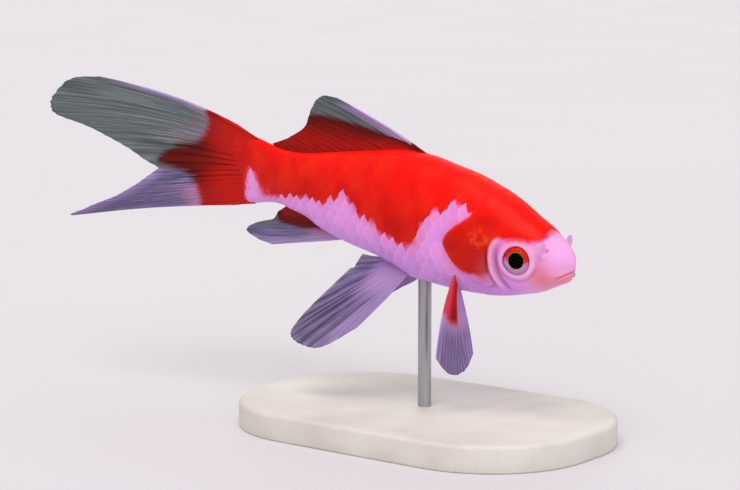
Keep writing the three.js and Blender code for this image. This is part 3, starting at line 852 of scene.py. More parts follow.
# %% Scales on the body
# Heights over the smooth body, in mm: the front end, the rise to the rear edge, the droop of
# both sides, and how much lower the front ends of the first rows are tucked in.
LIE = {"front": -0.3, "rise": 0.13, "droop": 0.06, "tuck": 0.15}
# The first rows end between these two distances behind the snout.
FIRST_ROWS = (24, 30)
# How thick a plate is at its front and at its rear, in mm.
PLATE_FRONT, PLATE_REAR = 0.1, 0.03
# How much of a scale's colour is decided once for the whole scale.
OWN_COLOUR = 0.55
flat = places(scales.data)
on_scale = values_of(scales.data, "on_scale")
lengthwise, crosswise, top = on_scale[:, 0] + 0.5, on_scale[:, 1] * 2, on_scale[:, 2] > 0
flat_behind = np.minimum(flat[:, 0], 98.0)
thinner = thin_end(flat_behind)
first_rows = 1 - rise(flat_behind, *FIRST_ROWS)
lift = LIE["front"] + LIE["rise"] * lengthwise - LIE["droop"] * crosswise**2
lift = (lift - LIE["tuck"] * (1 - lengthwise) * first_rows) * thinner
thick = (PLATE_FRONT - (PLATE_FRONT - PLATE_REAR) * lengthwise) * thinner
lift = lift - np.where(top, 0.0, thick)
turn = angle_round(flat_behind, flat[:, 1] / PLAN_WIDTH)
smooth = section(flat_behind, turn)
# Next to the head the front ends of the scales sink with its creases.
crease_here = np.minimum(head_relief(smooth)[0], 0.0) * first_rows * (1 - lengthwise) ** 2
placed = smooth + section_normal(flat_behind, turn) * (lift + crease_here)[:, None]
scales.data.vertices.foreach_set("co", (posed(placed) * MM).ravel())
red_scale = values_of(scales.data, "red_here", 1)
keep(scales.data, "fish", smooth)
keep(scales.data, "red", OWN_COLOUR * red_scale + (1 - OWN_COLOUR) * above_border(smooth))

# %% Edges and map of the scales
corner = loop_points(scales)
# The thin side walls have sharp edges, so each plate stays even up to its rim.
wall = np.ptp(on_scale[corner.reshape(-1, 4), 2], axis=1) > 0
edge_of_corner = np.empty(len(corner), int)
scales.data.loops.foreach_get("edge_index", edge_of_corner)
sharp = np.zeros(len(scales.data.edges), bool)
sharp[edge_of_corner.reshape(-1, 4)[wall]] = True
scales.data.edges.foreach_set("use_edge_sharp", sharp)
scales.data.polygons.foreach_set("use_smooth", ~wall)

# On the flat map each scale has a small patch, and its underside lies within it.
PATCH_LONG, PATCH_WIDE, UNDERSIDE = 0.02, 0.028, 0.88
root_place = values_of(scales.data, "root_place")
patch = unwrap(root_place[:, 0], root_place[:, 1] / 2)
inset = np.where(top, 1.0, UNDERSIDE)
patch_size = np.array([PATCH_LONG, PATCH_WIDE])
patch = patch + on_scale[:, :2] * patch_size * inset[:, None]
bake_map(scales, np.clip(patch, 0.002, 0.998)[corner])
print("scales:", len(scales.data.polygons), "faces")

# %% [markdown]
# ## The eyes
# A goldfish's eye is a ball with a flat ringed iris, a black pupil that bulges through it
# and a clear window over both. The ball and the window are two turned profiles: radius,
# then height along the eye's axis. With a real depth between them the glint sits in front
# of the iris from every side.

# %% Profiles of the eye
PUPIL = 1.74
# Radius and height, in mm, from the outer pole to the inner one.
BALL_PROFILE = [
    (0.0, 2.5), (0.5, 2.46), (1.0, 2.33), (1.4, 2.14), (1.6, 1.98), (PUPIL, 1.82), (1.8, 1.77),
    (1.9, 1.82), (2.15, 1.8), (2.5, 1.68), (2.8, 1.52), (IRIS, 1.34), (3.25, 1.05), (3.45, 0.6),
    (3.5, -0.1), (3.3, -0.9), (2.8, -1.6), (1.6, -2.3), (0.0, -2.5),
]
# How far the window stands before the centre of the eye, and how thick it is, in mm.
WINDOW_DEPTH = 3.0
WINDOW_WALL = 0.14


def window_profile():
    """The window's profile: out over its front, and back over its hollow rear."""
    radii = np.linspace(0, IRIS + 0.12, 14)
    outer = WINDOW_DEPTH * np.sqrt(1 - (radii / EYE["radius"]) ** 2)
    rim = list(zip(radii, outer))
    return rim + [(r * 0.985, h - WINDOW_WALL) for r, h in rim[::-1]]


print("the window stands", WINDOW_DEPTH - BALL_PROFILE[0][1], "mm before the pupil")


# %% Shapes turned on the eye
def eye_spokes(side, clock):
    """The eye's axis, and the directions square to it at the angles of a clock."""
    axis = eye_axis(side)
    upward = unit(np.array([0, 0, 1.0]) - axis[2] * axis)
    sideways = np.cross(upward, axis) * side
    spokes = np.cos(clock)[:, None] * sideways + np.sin(clock)[:, None] * upward
    return axis, upward, sideways, spokes


def turned_on_eye(name, profile, side, sides=64):
    """A closed surface turned round the eye's axis, from its outer pole to its inner one."""
    clock = np.linspace(0, 2 * np.pi, sides, endpoint=False)
    axis, _, _, spoke = eye_spokes(side, clock)
    points, radial, height = [], [], []
    for radius, high in profile[1:-1]:
        points.append(eye_centre(side) + spoke * radius + axis * high)
        radial.append(np.full(sides, radius))
        height.append(radius * np.sin(clock))
    count = (len(profile) - 2) * sides
    points.append([eye_centre(side) + axis * profile[0][1]])
    points.append([eye_centre(side) + axis * profile[-1][1]])
    points = np.vstack(points)
    made_faces = tube_faces(len(profile) - 2, sides).tolist()
    made_faces += [[count, i, (i + 1) % sides] for i in range(sides)]
    last = count - sides
    made_faces += [[count + 1, last + (i + 1) % sides, last + i] for i in range(sides)]
    made = piece(name, posed(points), made_faces)
    keep(made.data, "radial", np.concatenate([*radial, [0, 0]]))
    keep(made.data, "height", np.concatenate([*height, [0, 0]]))
    return made


def face_outward(made):
    """Turns the whole surface round if the volume that its faces enclose is negative."""
    mesh = made.data
    mesh.calc_loop_triangles()
    corners = np.empty(len(mesh.loop_triangles) * 3, int)
    mesh.loop_triangles.foreach_get("vertices", corners)
    a, b, c = (places(mesh)[corners.reshape(-1, 3)[:, k]] for k in range(3))
    if np.einsum("ij,ij->i", a, np.cross(b, c)).sum() < 0:
        mesh.flip_normals()


# %% [markdown]
# ## The flaps of the nostrils
# A goldfish carries a small tab of skin on the bridge of each nostril. It is a short tube
# of flat rings that closes to a round top, cupped a little, and it leans outward.

# %% Nostril flaps
FLAP = {"behind": 6.1, "out": 4.5, "high": 2.5, "wide": 2.8, "thick": 0.3, "lean": 42, "sunk": 1}


def nostril_flap(side, rows=14, columns=10):
    """The rings of a tab that stands across the nostril, from its sunk foot to its top."""
    lean, half = math.radians(FLAP["lean"]), FLAP["wide"] / 2
    tall = np.array([0, side * math.sin(lean), math.cos(lean)])
    wide = np.array([0, side * math.cos(lean), -math.sin(lean)])
    flank = body_size(BACK, FLAP["behind"])
    flank *= math.sqrt(1 - (FLAP["out"] / body_size(WIDTH, FLAP["behind"])) ** 2)
    foot = np.array([FLAP["behind"], side * FLAP["out"], flank])
    share = np.linspace(0, 1, rows)
    height = -FLAP["sunk"] + (FLAP["high"] + FLAP["sunk"]) * np.sin(share * np.pi / 2)
    from_top = np.clip((height - FLAP["high"] + half) / half, 0, 1)
    reach = half * np.sqrt(np.maximum(1 - from_top**2, 0.0004))
    turn = np.linspace(0, 2 * np.pi, columns * 2, endpoint=False)
    ring_list = []
    for up_by, half_width in zip(height, reach):
        x = np.cos(turn) * half_width
        cup = 0.3 * (x / half) ** 2 - 0.5 * FLAP["thick"] * np.sin(turn)
        ring_list.append(foot + tall * up_by + np.outer(x, wide) + np.outer(cup, [-1, 0, 0]))
    return ring_list


# %% [markdown]
# ## The rims of the eyes
# A soft ring of skin holds the eye. Cut into the skin's own mesh it would be ragged, because
# the rings of that mesh run straight past the eye. So it is a torus of its own, which dips
# and rises with the skin round it: a few waves round the eye, fitted to the skin's height.

# %% Rims of the eyes
RIM = {"radius": 3.34, "half_wide": 0.4, "half_high": 0.3, "sunk": 0.22}
# The skin is measured on a band this far from the eye's axis, and this wide to each side.
RIM_BAND, BAND_HALF = 3.75, 0.25


def eye_rim(name, side, sides=96, around=20):
    """A soft ring of skin that holds the eye and follows the height of the skin round it."""
    clock = np.linspace(0, 2 * np.pi, sides, endpoint=False)
    axis, upward, sideways, spoke = eye_spokes(side, clock)

    def waves(angles):
        parts = [np.ones(len(angles))]
        for k in (1, 2, 3):
            parts += [np.cos(k * angles), np.sin(k * angles)]
        return np.stack(parts, -1)

    reach = skin_straight - eye_centre(side)
    near = np.abs(fields["eye"] - RIM_BAND) < BAND_HALF
    near &= np.sign(skin_straight[:, 1]) == side
    clock_here = np.arctan2(reach[near] @ upward, reach[near] @ sideways)
    shape, *_ = np.linalg.lstsq(waves(clock_here), reach[near] @ axis, rcond=None)
    turn = np.linspace(0, 2 * np.pi, around, endpoint=False)
    middle = eye_centre(side) + spoke * RIM["radius"]
    middle = middle + np.outer(waves(clock) @ shape - RIM["sunk"], axis)
    points = (middle[:, None] + RIM["half_wide"] * np.cos(turn)[:, None] * spoke[:, None]
              + RIM["half_high"] * np.sin(turn)[:, None] * axis).reshape(-1, 3)
    made = piece(name, posed(points), tube_faces(sides + 1, around) % len(points))
    keep(made.data, "fish", points)
    keep(made.data, "red", above_border(points))
    return made


eyes, windows, rims = {}, {}, {}
for name, side in (("left", 1), ("right", -1)):
    eyes[name] = turned_on_eye("eyeball_" + name, BALL_PROFILE, side)
    windows[name] = turned_on_eye("eye_window_" + name, window_profile(), side)
    rims[name] = eye_rim("eye_rim_" + name, side)
    for made in (eyes[name], windows[name], rims[name]):
        face_outward(made)
face_outward(skin)
print("eyes:", [len(e.data.polygons) for e in eyes.values()], "faces each")

# %% [markdown]
# ## The plan of the fins
# A fin is a fan. Each row below is one guiding ray: where it stands across the fan, its
# root, its tip, and how far its middle bows out of the straight line. Paired fins give the
# tip as a reach from the root. Smooth curves through the rows give every ray between.

# %% Sizes of the fins
# The roots of the fins on the back and belly lie this deep in the body.
SUNK = 1.2


def on_back(behind):
    return (behind, 0, float(body_size(BACK, behind)) - SUNK)


def on_belly(behind):
    return (behind, 0, SUNK - float(body_size(BELLY, behind)))


DORSAL = [
    (0.0, on_back(40.4), (68.5, 0.5, 21.9), (0, 0, 0.5)),
    (0.12, on_back(45.3), (73.2, 0.8, 21.3), (0, 0.3, 0.6)),
    (0.28, on_back(51), (75.6, 0.9, 18), (0, 0.5, 0.4)),
    (0.5, on_back(60), (77.3, 0.6, 13.3), (0, 0.2, 0.3)),
    (0.75, on_back(70.5), (81, 0.1, 10.2), (0, -0.2, 0.2)),
    (1.0, on_back(84.5), (86.2, 0, 7.6), (0, 0, 0.1)),
]
ANAL = [
    (0.0, on_belly(60.8), (84.8, -0.6, -16.4), (0, -0.2, -0.1)),
    (0.08, on_belly(62.6), (89.4, -0.7, -16), (0, -0.3, -0.4)),
    (0.18, on_belly(64.8), (93.2, -0.8, -14.8), (0, -0.3, -0.7)),
    (0.45, on_belly(70.5), (90.5, -0.4, -12.4), (0, 0.3, -0.5)),
    (0.72, on_belly(75.5), (85.4, 0, -10.6), (0, 0.3, -0.2)),
    (1.0, on_belly(79.5), (83.4, 0.1, -8.2), (0, 0, -0.1)),
]
PELVIC_ROOT = [(41.2, 3.2, -12.0), (46.4, 1.3, -10.6)]
PELVIC_RIGHT = [
    (0.0, (7.8, 7.2, -14), (-1.2, 0.6, 0.8)),
    (0.12, (13.4, 9.2, -19.3), (-1.3, 0.9, 0.4)),
    (0.26, (17.3, 10.1, -21.4), (-1, 1, 0.1)),
    (0.5, (21.9, 10.6, -20.6), (0, 0.9, 0)),
    (0.75, (19.7, 9.2, -16.4), (0, 0.5, 0)),
    (1.0, (10.2, 3.2, -4.2), (0, -0.2, 0)),
]
PELVIC_LEFT = [
    (0.0, (10.8, 3.3, -8.6), (-1, 0.6, -0.4)),
    (0.25, (15.5, 5.1, -13.8), (-0.6, 0.8, -0.2)),
    (0.5, (19.2, 6.1, -12.8), (0, 0.6, 0)),
    (0.75, (19.4, 5.7, -8.2), (0, 0.2, 0)),
    (1.0, (14.1, 3.7, -3.4), (0, -0.2, -0.4)),
]
PECTORAL_ROOT = [(26.2, 5.8, -6.2), (27.6, 4.2, -8.4)]
PECTORAL_RIGHT = [
    (0.0, (-2, 6.8, -18.8), (0.5, 0.6, 0)),
    (0.3, (-3.7, 3.5, -22.2), (0, 0.9, 0)),
    (0.65, (-5.2, 0, -21.4), (0, 0.8, 0)),
    (1.0, (-5.4, -2.6, -17.2), (0, -0.6, 0)),
]
PECTORAL_LEFT = [
    (0.0, (5, 18, -2), (-1.5, 0.8, 0.6)),
    (0.3, (9.6, 19, -3.6), (-1, 0.8, 0.8)),
    (0.65, (13.4, 15.4, -5.2), (0, 0.6, 0.4)),
    (1.0, (13.2, 9, -5.4), (0, 0.3, 0)),
]
TAIL_START = BODY_END * LENGTH + 0.3
TAIL_UPPER = [
    (0.0, (TAIL_START, 0, 8.5), (142, 0.5, 16.1), (0, 0, 0.9)),
    (0.12, (TAIL_START, 0, 7.5), (150, 0.6, 14.9), (0, 0.1, 1.2)),
    (0.26, (TAIL_START, 0, 6.3), (155.2, 0.6, 9.6), (0, 0.2, 1.3)),
    (0.42, (TAIL_START, 0, 4.9), (154.2, 0.5, 5.9), (0, 0.3, 1.2)),
    (0.6, (TAIL_START, 0, 3.4), (145, 0.2, 3.4), (0, 0.3, 0.8)),
    (0.8, (TAIL_START, 0, 1.7), (134, -0.2, -0.3), (0, 0.2, 0.4)),
    (0.92, (TAIL_START, 0, 0.8), (127.2, -0.7, -3.1), (0, 0, 0.1)),
    (1.0, (TAIL_START, 0, 0.15), (123.4, -1.1, -4.2), (0, 0, 0)),
]
TAIL_LOWER = [
    (0.0, (TAIL_START, 0, -8.5), (140, -0.2, -17.8), (0, 0, 0)),
    (0.15, (TAIL_START, 0, -7.3), (148.5, -1, -19.3), (0, -0.2, -0.2)),
    (0.35, (TAIL_START, 0, -5.6), (143.5, -2.4, -16.8), (0, -0.6, -0.2)),
    (0.57, (TAIL_START, 0, -3.8), (135, -3, -12.8), (0, -0.9, -0.2)),
    (0.8, (TAIL_START, 0, -1.8), (127.6, -2.6, -8.4), (0, -0.5, 0)),
    (1.0, (TAIL_START, 0, -0.15), (122.8, -1.2, -4.6), (0, 0, 0)),
]
MEDIAN = (DORSAL, ANAL, TAIL_UPPER, TAIL_LOWER)
print("guiding rays:", sum(map(len, MEDIAN)), "in the fins on the middle plane")


# %% Fans
def fan(keys):
    """The fan through guiding rays: a point for each place across and along it."""
    rows = [(key[0], *key[1], *key[2], *key[3]) for key in keys]
    columns = [through(rows, k) for k in range(1, 10)]

    def surface(at, along):
        root, tip, bow = (np.stack([c(at) for c in columns[k:k + 3]], -1) for k in (0, 3, 6))
        along = np.asarray(along, float)[..., None]
        return root + (tip - root) * along + bow * 4 * along * (1 - along)

    return surface


def paired_fan(side, root_ends, reaches):
    """The fan of a paired fin, from its root's two ends and the reaches of its rays."""
    first, last = (np.array(end) for end in root_ends)
    mirror = np.array([1, side, 1])
    keys = []
    for at, reach, bow in reaches:
        root = first + (last - first) * at
        keys.append((at, tuple(root * mirror), tuple((root + reach) * mirror),
                     tuple(np.array(bow) * mirror)))
    return fan(keys)


def across_fan(surface, at, along):
    """The direction square to the fan's surface."""
    step = 1e-3
    over = surface(at + step, along) - surface(at - step, along)
    out = surface(at, along + step) - surface(at, along - step)
    return unit(np.cross(over, out))


# %% [markdown]
# ## Membranes and rays
# The membrane is a thin closed sheet, a little hollow between rays and notched at its
# margin. The rays are split lengthwise towards the margin, as a goldfish's are: one stout
# root becomes two, then four strands. Each strand is a line drawn on the fan, and Geometry
# Nodes turn the lines into tapering tubes.

# %% Membrane
# The waves of a rippled fin: how many to a ray across it, and how fast they run along it.
WAVES_TO_RAY, WAVES_ALONG = 0.31, 3.0
# How deep the margin is notched and worn, as shares of a ray.
NOTCH, WEAR = 0.006, 0.01


def margin(at, rays, seed):
    """How far along the fin its edge lies: notched between rays, and a little worn."""
    chance = np.random.default_rng(seed)
    wear = np.interp(at * rays * 2, np.arange(rays * 2 + 1),
                     chance.uniform(0, WEAR, rays * 2 + 1))
    return 1 - wear - NOTCH * (1 - np.cos(at * rays * 4 * np.pi)) / 2


def rippled(surface, at, along, rays, ripple):
    """Points of a fan, moved off it by a wave of `ripple` mm, and the way out of it."""
    out = across_fan(surface, at, np.clip(along, 0.02, 0.98))
    wave = ripple * np.sin(at * rays * np.pi * WAVES_TO_RAY + along * WAVES_ALONG)
    wave = wave * rise(along, 0.25, 1.0)
    return surface(at, along) + out * wave[..., None], out


def membrane(name, surface, rays, seed, sink, across=8, steps=56, ripple=0.0, lap=0.0):
    """A closed thin sheet over a fan; sink is how far its root runs on inside the body."""
    at = np.linspace(0, 1 + lap, rays * across + 1)
    share = np.linspace(0, 1, steps + 1)
    a, s = np.meshgrid(at, share, indexing="ij")
    along = -sink + s * (margin(a, rays, seed) + sink)
    middle, out = rippled(surface, a, along, rays, ripple)
    thick = 0.2 - 0.12 * np.clip(along, 0, 1)
    thick = thick + 0.1 * np.abs(np.cos(a * rays * np.pi)) ** 6 * (1 - np.clip(along, 0, 1))
    front, rear = (middle + out * (half * thick)[..., None] for half in (1, -1))
    sheet = (len(at), steps + 1, 3)
    points = np.concatenate([front.reshape(sheet), rear.reshape(sheet)[:, ::-1]], axis=1)
    strip = points.shape[1]
    made_faces = tube_faces(len(at), strip).tolist()
    half = strip // 2
    for end, flipped in ((0, False), (len(at) - 1, True)):
        for j in range(half - 1):
            quad = [end * strip + j, end * strip + j + 1,
                    end * strip + strip - 2 - j, end * strip + strip - 1 - j]
            made_faces.append(quad if flipped else quad[::-1])
    made = piece(name, posed(points.reshape(-1, 3)), made_faces)
    face_outward(made)
    keep(made.data, "fish", points.reshape(-1, 3))
    keep(made.data, "across", np.concatenate([a, a[:, ::-1]], axis=1).ravel() * rays)
    keep(made.data, "along", np.concatenate([along, along[:, ::-1]], axis=1).ravel())
    corner = loop_points(made)
    own = np.concatenate([s * 0.48, 1 - s[:, ::-1] * 0.48], axis=1).ravel()
    side_of = np.repeat(at / (1 + lap), strip)
    bake_map(made, np.stack([0.02 + 0.96 * side_of, 0.01 + 0.98 * own], -1)[corner])
    return made


# %% The tree of the rays
strand_tree, given, strand_names = node_tree(
    "draw_strands", {"Thickness": "Float", "Uneven": "Float", "Seed": "Int",
                     "Material": "Material"},
)
line = node(strand_tree, "GeometryNodeMeshToCurve", {0: given.outputs[0]}, 0)
thin = node(strand_tree, "GeometryNodeInputNamedAttribute", {"Name": "thin"}, 0, data_type="FLOAT")
uneven = node(strand_tree, "FunctionNodeRandomValue",
              {"Min": -1.0, "Max": 1.0, "Seed": given.outputs["Seed"]}, 1, data_type="FLOAT")
uneven = node(strand_tree, MATH, {0: uneven, 1: given.outputs["Uneven"], 2: 1.0}, 0,
              operation="MULTIPLY_ADD")
radius = node(strand_tree, MATH, {0: thin, 1: uneven}, 0, operation="MULTIPLY")
radius = node(strand_tree, MATH, {0: radius, 1: given.outputs["Thickness"]}, 0,
              operation="MULTIPLY")
ring = node(strand_tree, "GeometryNodeCurvePrimitiveCircle", {"Resolution": 6, "Radius": 1.0}, 0)
tubes = node(strand_tree, "GeometryNodeCurveToMesh",
             {0: line, "Profile Curve": ring, "Scale": radius, "Fill Caps": True}, 0)
finish_tree(strand_tree, tubes, given.outputs["Material"])
print("ray tree:", len(strand_tree.nodes), "nodes")

# %% Rays
# Where along the ray each split begins and ends, and how far it moves each strand aside, as
# a share of the way to the next ray.
SPLITS = [(0.24, 0.46, 0.25), (0.5, 0.76, 0.125)]
# The strands end this much short of the margin, and the first ray is this much thicker.
SHORT_OF_MARGIN, SPINE = 0.004, 1.6


def strands(name, surface, rays, seed, sink, thickness, material, ripple=0.0, steps=34):
    """The rays of a fin as branching tubes; the first ray is one stout spine."""
    share = np.linspace(0, 1, steps + 1)
    lines, across, alongs, thins = [], [], [], []
    for ray in range(rays + 1):
        offsets = [(0, 0)] if ray == 0 else [(-1, -1), (-1, 1), (1, -1), (1, 1)]
        for outer, inner in offsets:
            start = ray / rays
            along = -sink + share * (1 + sink)
            spread = sum(way * aside * rise(along, low, high)
                         for way, (low, high, aside) in zip((outer, inner), SPLITS))
            at = np.clip(start + spread / rays, 0, 1)
            end = margin(at, rays, seed) - SHORT_OF_MARGIN
            along = -sink + share * (end + sink)
            lines.append(rippled(surface, at, along, rays, ripple)[0])
            across.append(at * rays)
            alongs.append(along)
            taper = (1 - 0.8 * np.clip(along, 0, 1) ** 0.8) * (0.3 + 0.7 * rise(along, -0.02, 0.1))
            thins.append(taper * (SPINE if ray == 0 else 1.0))
    number = len(lines)
    points = np.vstack(lines)
    mesh = bpy.data.meshes.new(name)
    run = np.arange(number * (steps + 1)).reshape(number, -1)
    edges = np.stack([run[:, :-1], run[:, 1:]], -1).reshape(-1, 2)
    mesh.from_pydata((posed(points) * MM).tolist(), edges.tolist(), [])
    keep(mesh, "fish", points)
    keep(mesh, "across", np.concatenate(across))
    keep(mesh, "along", np.concatenate(alongs))
    keep(mesh, "thin", np.concatenate(thins))
    base = bpy.data.objects.new(name, mesh)
    bpy.context.scene.collection.objects.link(base)
    made = grown(base, strand_tree, strand_names,
                 {"Thickness": thickness * MM, "Uneven": 0.08, "Seed": seed,
                  "Material": material}, name)
    face_outward(made)
    made.data.polygons.foreach_set("use_smooth", [True] * len(made.data.polygons))
    corner = loop_points(made)
    a, s = values_of(made.data, "across", 1) / rays, values_of(made.data, "along", 1)
    spot = MAP_EDGE + MAP_USED * np.stack([np.clip(a, 0, 1), np.clip(s, 0, 1)], -1)
    bake_map(made, spot[corner])
    return made


# %% [markdown]
# ## Where the red of the fins ends
# The red of the fins is a border too. On the tail it is a ragged line a third of the way
# out. On the other fins it goes by the place across the fan and along it, and the pelvic
# fins have none. Each function gives millimetres, positive on the red, as the body's does,
# so one material serves all the fins.

# %% Red of the fins
# Behind, up: where the red of the tail ends, from its upper edge to its lower.
TAIL_BORDER = [
    (108.6, 20.0), (108.8, 12.4), (108.0, 9.0), (109.6, 5.4), (112.6, 3.4), (118.0, 1.8),
    (122.4, -1.0), (123.0, -3.2), (117.5, -3.6), (113.2, -4.2), (110.3, -5.6), (109.2, -8.0),
    (109.8, -12.0), (110.0, -22.0),
]
tail_line = rounded(TAIL_BORDER, closed=False, count=5)
tail_sides = np.vstack([tail_line, [(60, -40), (60, 40)]])


def tail_red(points, at, along):
    flat = points[:, [0, 2]]
    gap, _ = distance_to(tail_line, flat)
    return np.where(inside(tail_sides, flat), gap, -gap)


def dorsal_red(points, at, along):
    first_red = np.interp(along, [0, 0.2, 0.28, 0.46, 0.66, 0.82, 1],
                          [-0.2, -0.05, 0.13, 0.2, 0.26, 0.29, 0.35])
    return 30 * (at - first_red)


def anal_red(points, at, along):
    first_red = np.interp(along, [0, 0.26, 0.39, 0.6, 0.85, 1], [0.2, 0.28, 0.36, 0.49, 0.76, 1])
    return 14 * (at - first_red)


def pectoral_red(points, at, along):
    return 24 * (0.5 - along) - 14 * rise(at - 0.5 * along, 0.35, 0.7)


def no_red(points, at, along):
    return -12 + 0 * at


print("border on the tail:", len(tail_line), "points")

# %% [markdown]
# ## Tones of the fins
# A fin is not one colour. Its front rays, edges and tips, and all of the far pelvic fin, are
# painted lighter as if lit, its folds get a painted shade, it is rosy by the root, and the red
# is painted brighter where light comes through it. Each tone is a share from 0 to 1 for each
# point, and the material blends by it.


# %% Tones of the fins
def fin_tones(name, at, along, red):
    """Shares for each point: lilac against grey, painted fold shade, painted light, rosy, glowing
    red.
    """
    front = 1 - rise(at, 0.03, 0.09)
    one = np.ones(len(at))
    near_red = rise(red, -7, -1) * (1 - rise(red, 0, 1.5))
    if name == "tail_fin_upper":
        folds = 0.2 + 0.8 * rise(at, 0.55, 0.8) * (1 - rise(along, 0.7, 0.95))
        painted_light = front * rise(along, 0.25, 0.35) * (1 - rise(along, 0.7, 0.95))
        rose = 0.25 * near_red * (1 - rise(at, 0.5, 0.8))
        return 0.1 * one, folds, 0.75 * painted_light, rose, 1 - rise(along, 0.08, 0.4)
    if name == "tail_fin_lower":
        folds = 0.15 + 0.85 * rise(at, 0.55, 0.8) * (1 - rise(along, 0.6, 0.8))
        painted_light = np.maximum(front, rise(along, 0.8, 1.0))
        rose = near_red * (1 - rise(at, 0.5, 0.8))
        return 0.75 * one, folds, 0.6 * painted_light, rose, 1 - rise(along, 0.1, 0.6)
    if name == "dorsal_fin":
        painted_light = (1 - rise(at, 0.07, 0.15)) * rise(along, 0.15, 0.25) * (1 - rise(along, 0.75, 0.95))
        return 0.1 * one, 0.6 * one, painted_light, 0 * one, 1 - rise(along, 0, 0.15)
    if name == "anal_fin":
        painted_light = 1 - rise(at, 0.06, 0.16)
        grey = rise(at, 0.25, 0.5) * rise(along, 0.4, 0.7)
        rose = 0.8 * (1 - rise(along, 0.1, 0.45)) * (1 - rise(at, 0.2, 0.35))
        return 0.7 - 0.5 * grey, 0.2 * one, 0.8 * painted_light, rose, 0 * one
    if name.startswith("pelvic"):
        painted_light = np.maximum(1 - rise(at, 0.1, 0.45), 0.7 * rise(along, 0.88, 1))
        painted_light = np.maximum(painted_light, 1 - rise(along, 0.2, 0.6))
        # Painted light: the far left fin, in the body's shade, is lightened all over, the near one a
        # little.
        painted_light = np.maximum(painted_light, 1.0 if name.endswith("left") else 0.25)
        folds = rise(at, 0.1, 0.35) * (1 - rise(at, 0.8, 1)) * rise(along, 0.2, 0.45)
        rose = 0.9 * (1 - rise(along, 0.05, 0.45))
        return 0.8 - 0.3 * rise(along, 0.5, 1), folds, 0.75 * painted_light, rose, 0 * one
    painted_light = np.maximum(0.45, np.maximum(1 - rise(at, 0.05, 0.2), rise(at, 0.6, 0.9)))
    rose = np.maximum(0.7 * near_red, np.maximum(1 - rise(at, 0.05, 0.3), rise(at, 0.5, 0.7)))
    rose = rose * (1 - rise(along, 0.5, 0.7))
    glow = 1 - 0.65 * rise(along, 0.2, 0.42) * rise(at, 0.15, 0.4)
    return 0.8 * one, 0.6 * rise(along, 0.45, 0.7), 0.8 * painted_light, rose, glow


# %% [markdown]
# ## Seven fins
# A goldfish has seven fins: dorsal, anal and tail, two pelvic and two pectoral. The tail is
# two fans that lap a little at the fork, so there are eight membranes, each with its rays.

# %% Fins
FORK_LAP = {"tail_fin_upper": 0.02, "tail_fin_lower": 0.01}
FIRST_SEED = 30
film = bpy.data.materials.new("fin_membrane")
ray_film = bpy.data.materials.new("fin_ray")
# Name: fan, rays, how far the root runs on inside the body as a share of a ray, thickness of
# a ray and height of the ripple in mm, red.
FINS = {
    "dorsal_fin": (fan(DORSAL), 17, 0.0, 0.3, 0.12, dorsal_red),
    "anal_fin": (fan(ANAL), 8, 0.0, 0.28, 0.1, anal_red),
    "pelvic_fin_right": (paired_fan(-1, PELVIC_ROOT, PELVIC_RIGHT), 9, 0.02, 0.28, 0.1, no_red),
    "pelvic_fin_left": (paired_fan(1, PELVIC_ROOT, PELVIC_LEFT), 9, 0.02, 0.28, 0.1, no_red),
    "pectoral_fin_right": (paired_fan(-1, PECTORAL_ROOT, PECTORAL_RIGHT), 13, 0.02, 0.26, 0.1,
                           pectoral_red),
    "pectoral_fin_left": (paired_fan(1, PECTORAL_ROOT, PECTORAL_LEFT), 13, 0.02, 0.26, 0.1,
                          pectoral_red),
    "tail_fin_upper": (fan(TAIL_UPPER), 10, 0.06, 0.34, 0.2, tail_red),
    "tail_fin_lower": (fan(TAIL_LOWER), 9, 0.06, 0.34, 0.2, tail_red),
}
fin_pieces = {}
for number, (name, (surface, rays, sink, thickness, ripple, red)) in enumerate(FINS.items()):
    lap, seed = FORK_LAP.get(name, 0.0), FIRST_SEED + number
    sheet = membrane(name + "_membrane", surface, rays, seed, sink, ripple=ripple, lap=lap)
    sheet.data.materials.append(film)
    bones = strands(name + "_rays", surface, rays, seed, sink, thickness, ray_film,
                    ripple=ripple)
    for made in (sheet, bones):
        at = values_of(made.data, "across", 1) / rays
        points, along = values_of(made.data, "fish"), values_of(made.data, "along", 1)
        red_here = red(points, at, along)
        keep(made.data, "red", red_here)
        for tone, share in zip(("lilac", "folds", "painted_light", "rose", "glow"),
                               fin_tones(name, at, along, red_here)):
            keep(made.data, tone, share)
    fin_pieces[name] = (sheet, bones)
print("fins:", {name: [len(m.data.polygons) for m in made] for name, made in fin_pieces.items()})

# %% [markdown]
# ## The display stand
# A museum mounts such a model on a slim steel rod over a small slab of honed limestone. The
# slab is an outline swept through a list of insets and heights, which rounds its upper edge.

# %% Rings of the stand
STAND = {"length": 88, "width": 56, "corner": 24, "height": 6, "bevel": 1, "rod": 1.5}
# The rod starts inside the slab at this height, and ends this deep in the belly.
ROD_FROM, ROD_IN_BELLY = 2.0, 4.0


def slab_ring(inset, height, corner_steps=20):
    """One outline of the slab, drawn in by inset, at a height."""
    radius = STAND["corner"] - inset
    long, wide = STAND["length"] / 2 - STAND["corner"], STAND["width"] / 2 - STAND["corner"]
    quarter = np.linspace(0, np.pi / 2, corner_steps)
    ring = []
    for k, (x, y) in enumerate(((long, wide), (-long, wide), (-long, -wide), (long, -wide))):
        turn = quarter + k * np.pi / 2
        ring.append(np.stack([x + radius * np.cos(turn), y + radius * np.sin(turn),
                              np.full(corner_steps, height)], -1))
    return np.vstack(ring)


def lathe_rings(profile, sides):
    """Rings of a turned shape about the upright axis, from pairs of radius and height."""
    turn = np.linspace(0, 2 * np.pi, sides, endpoint=False)
    return [np.stack([r * np.cos(turn), r * np.sin(turn), np.full(sides, z)], -1)
            for r, z in profile]


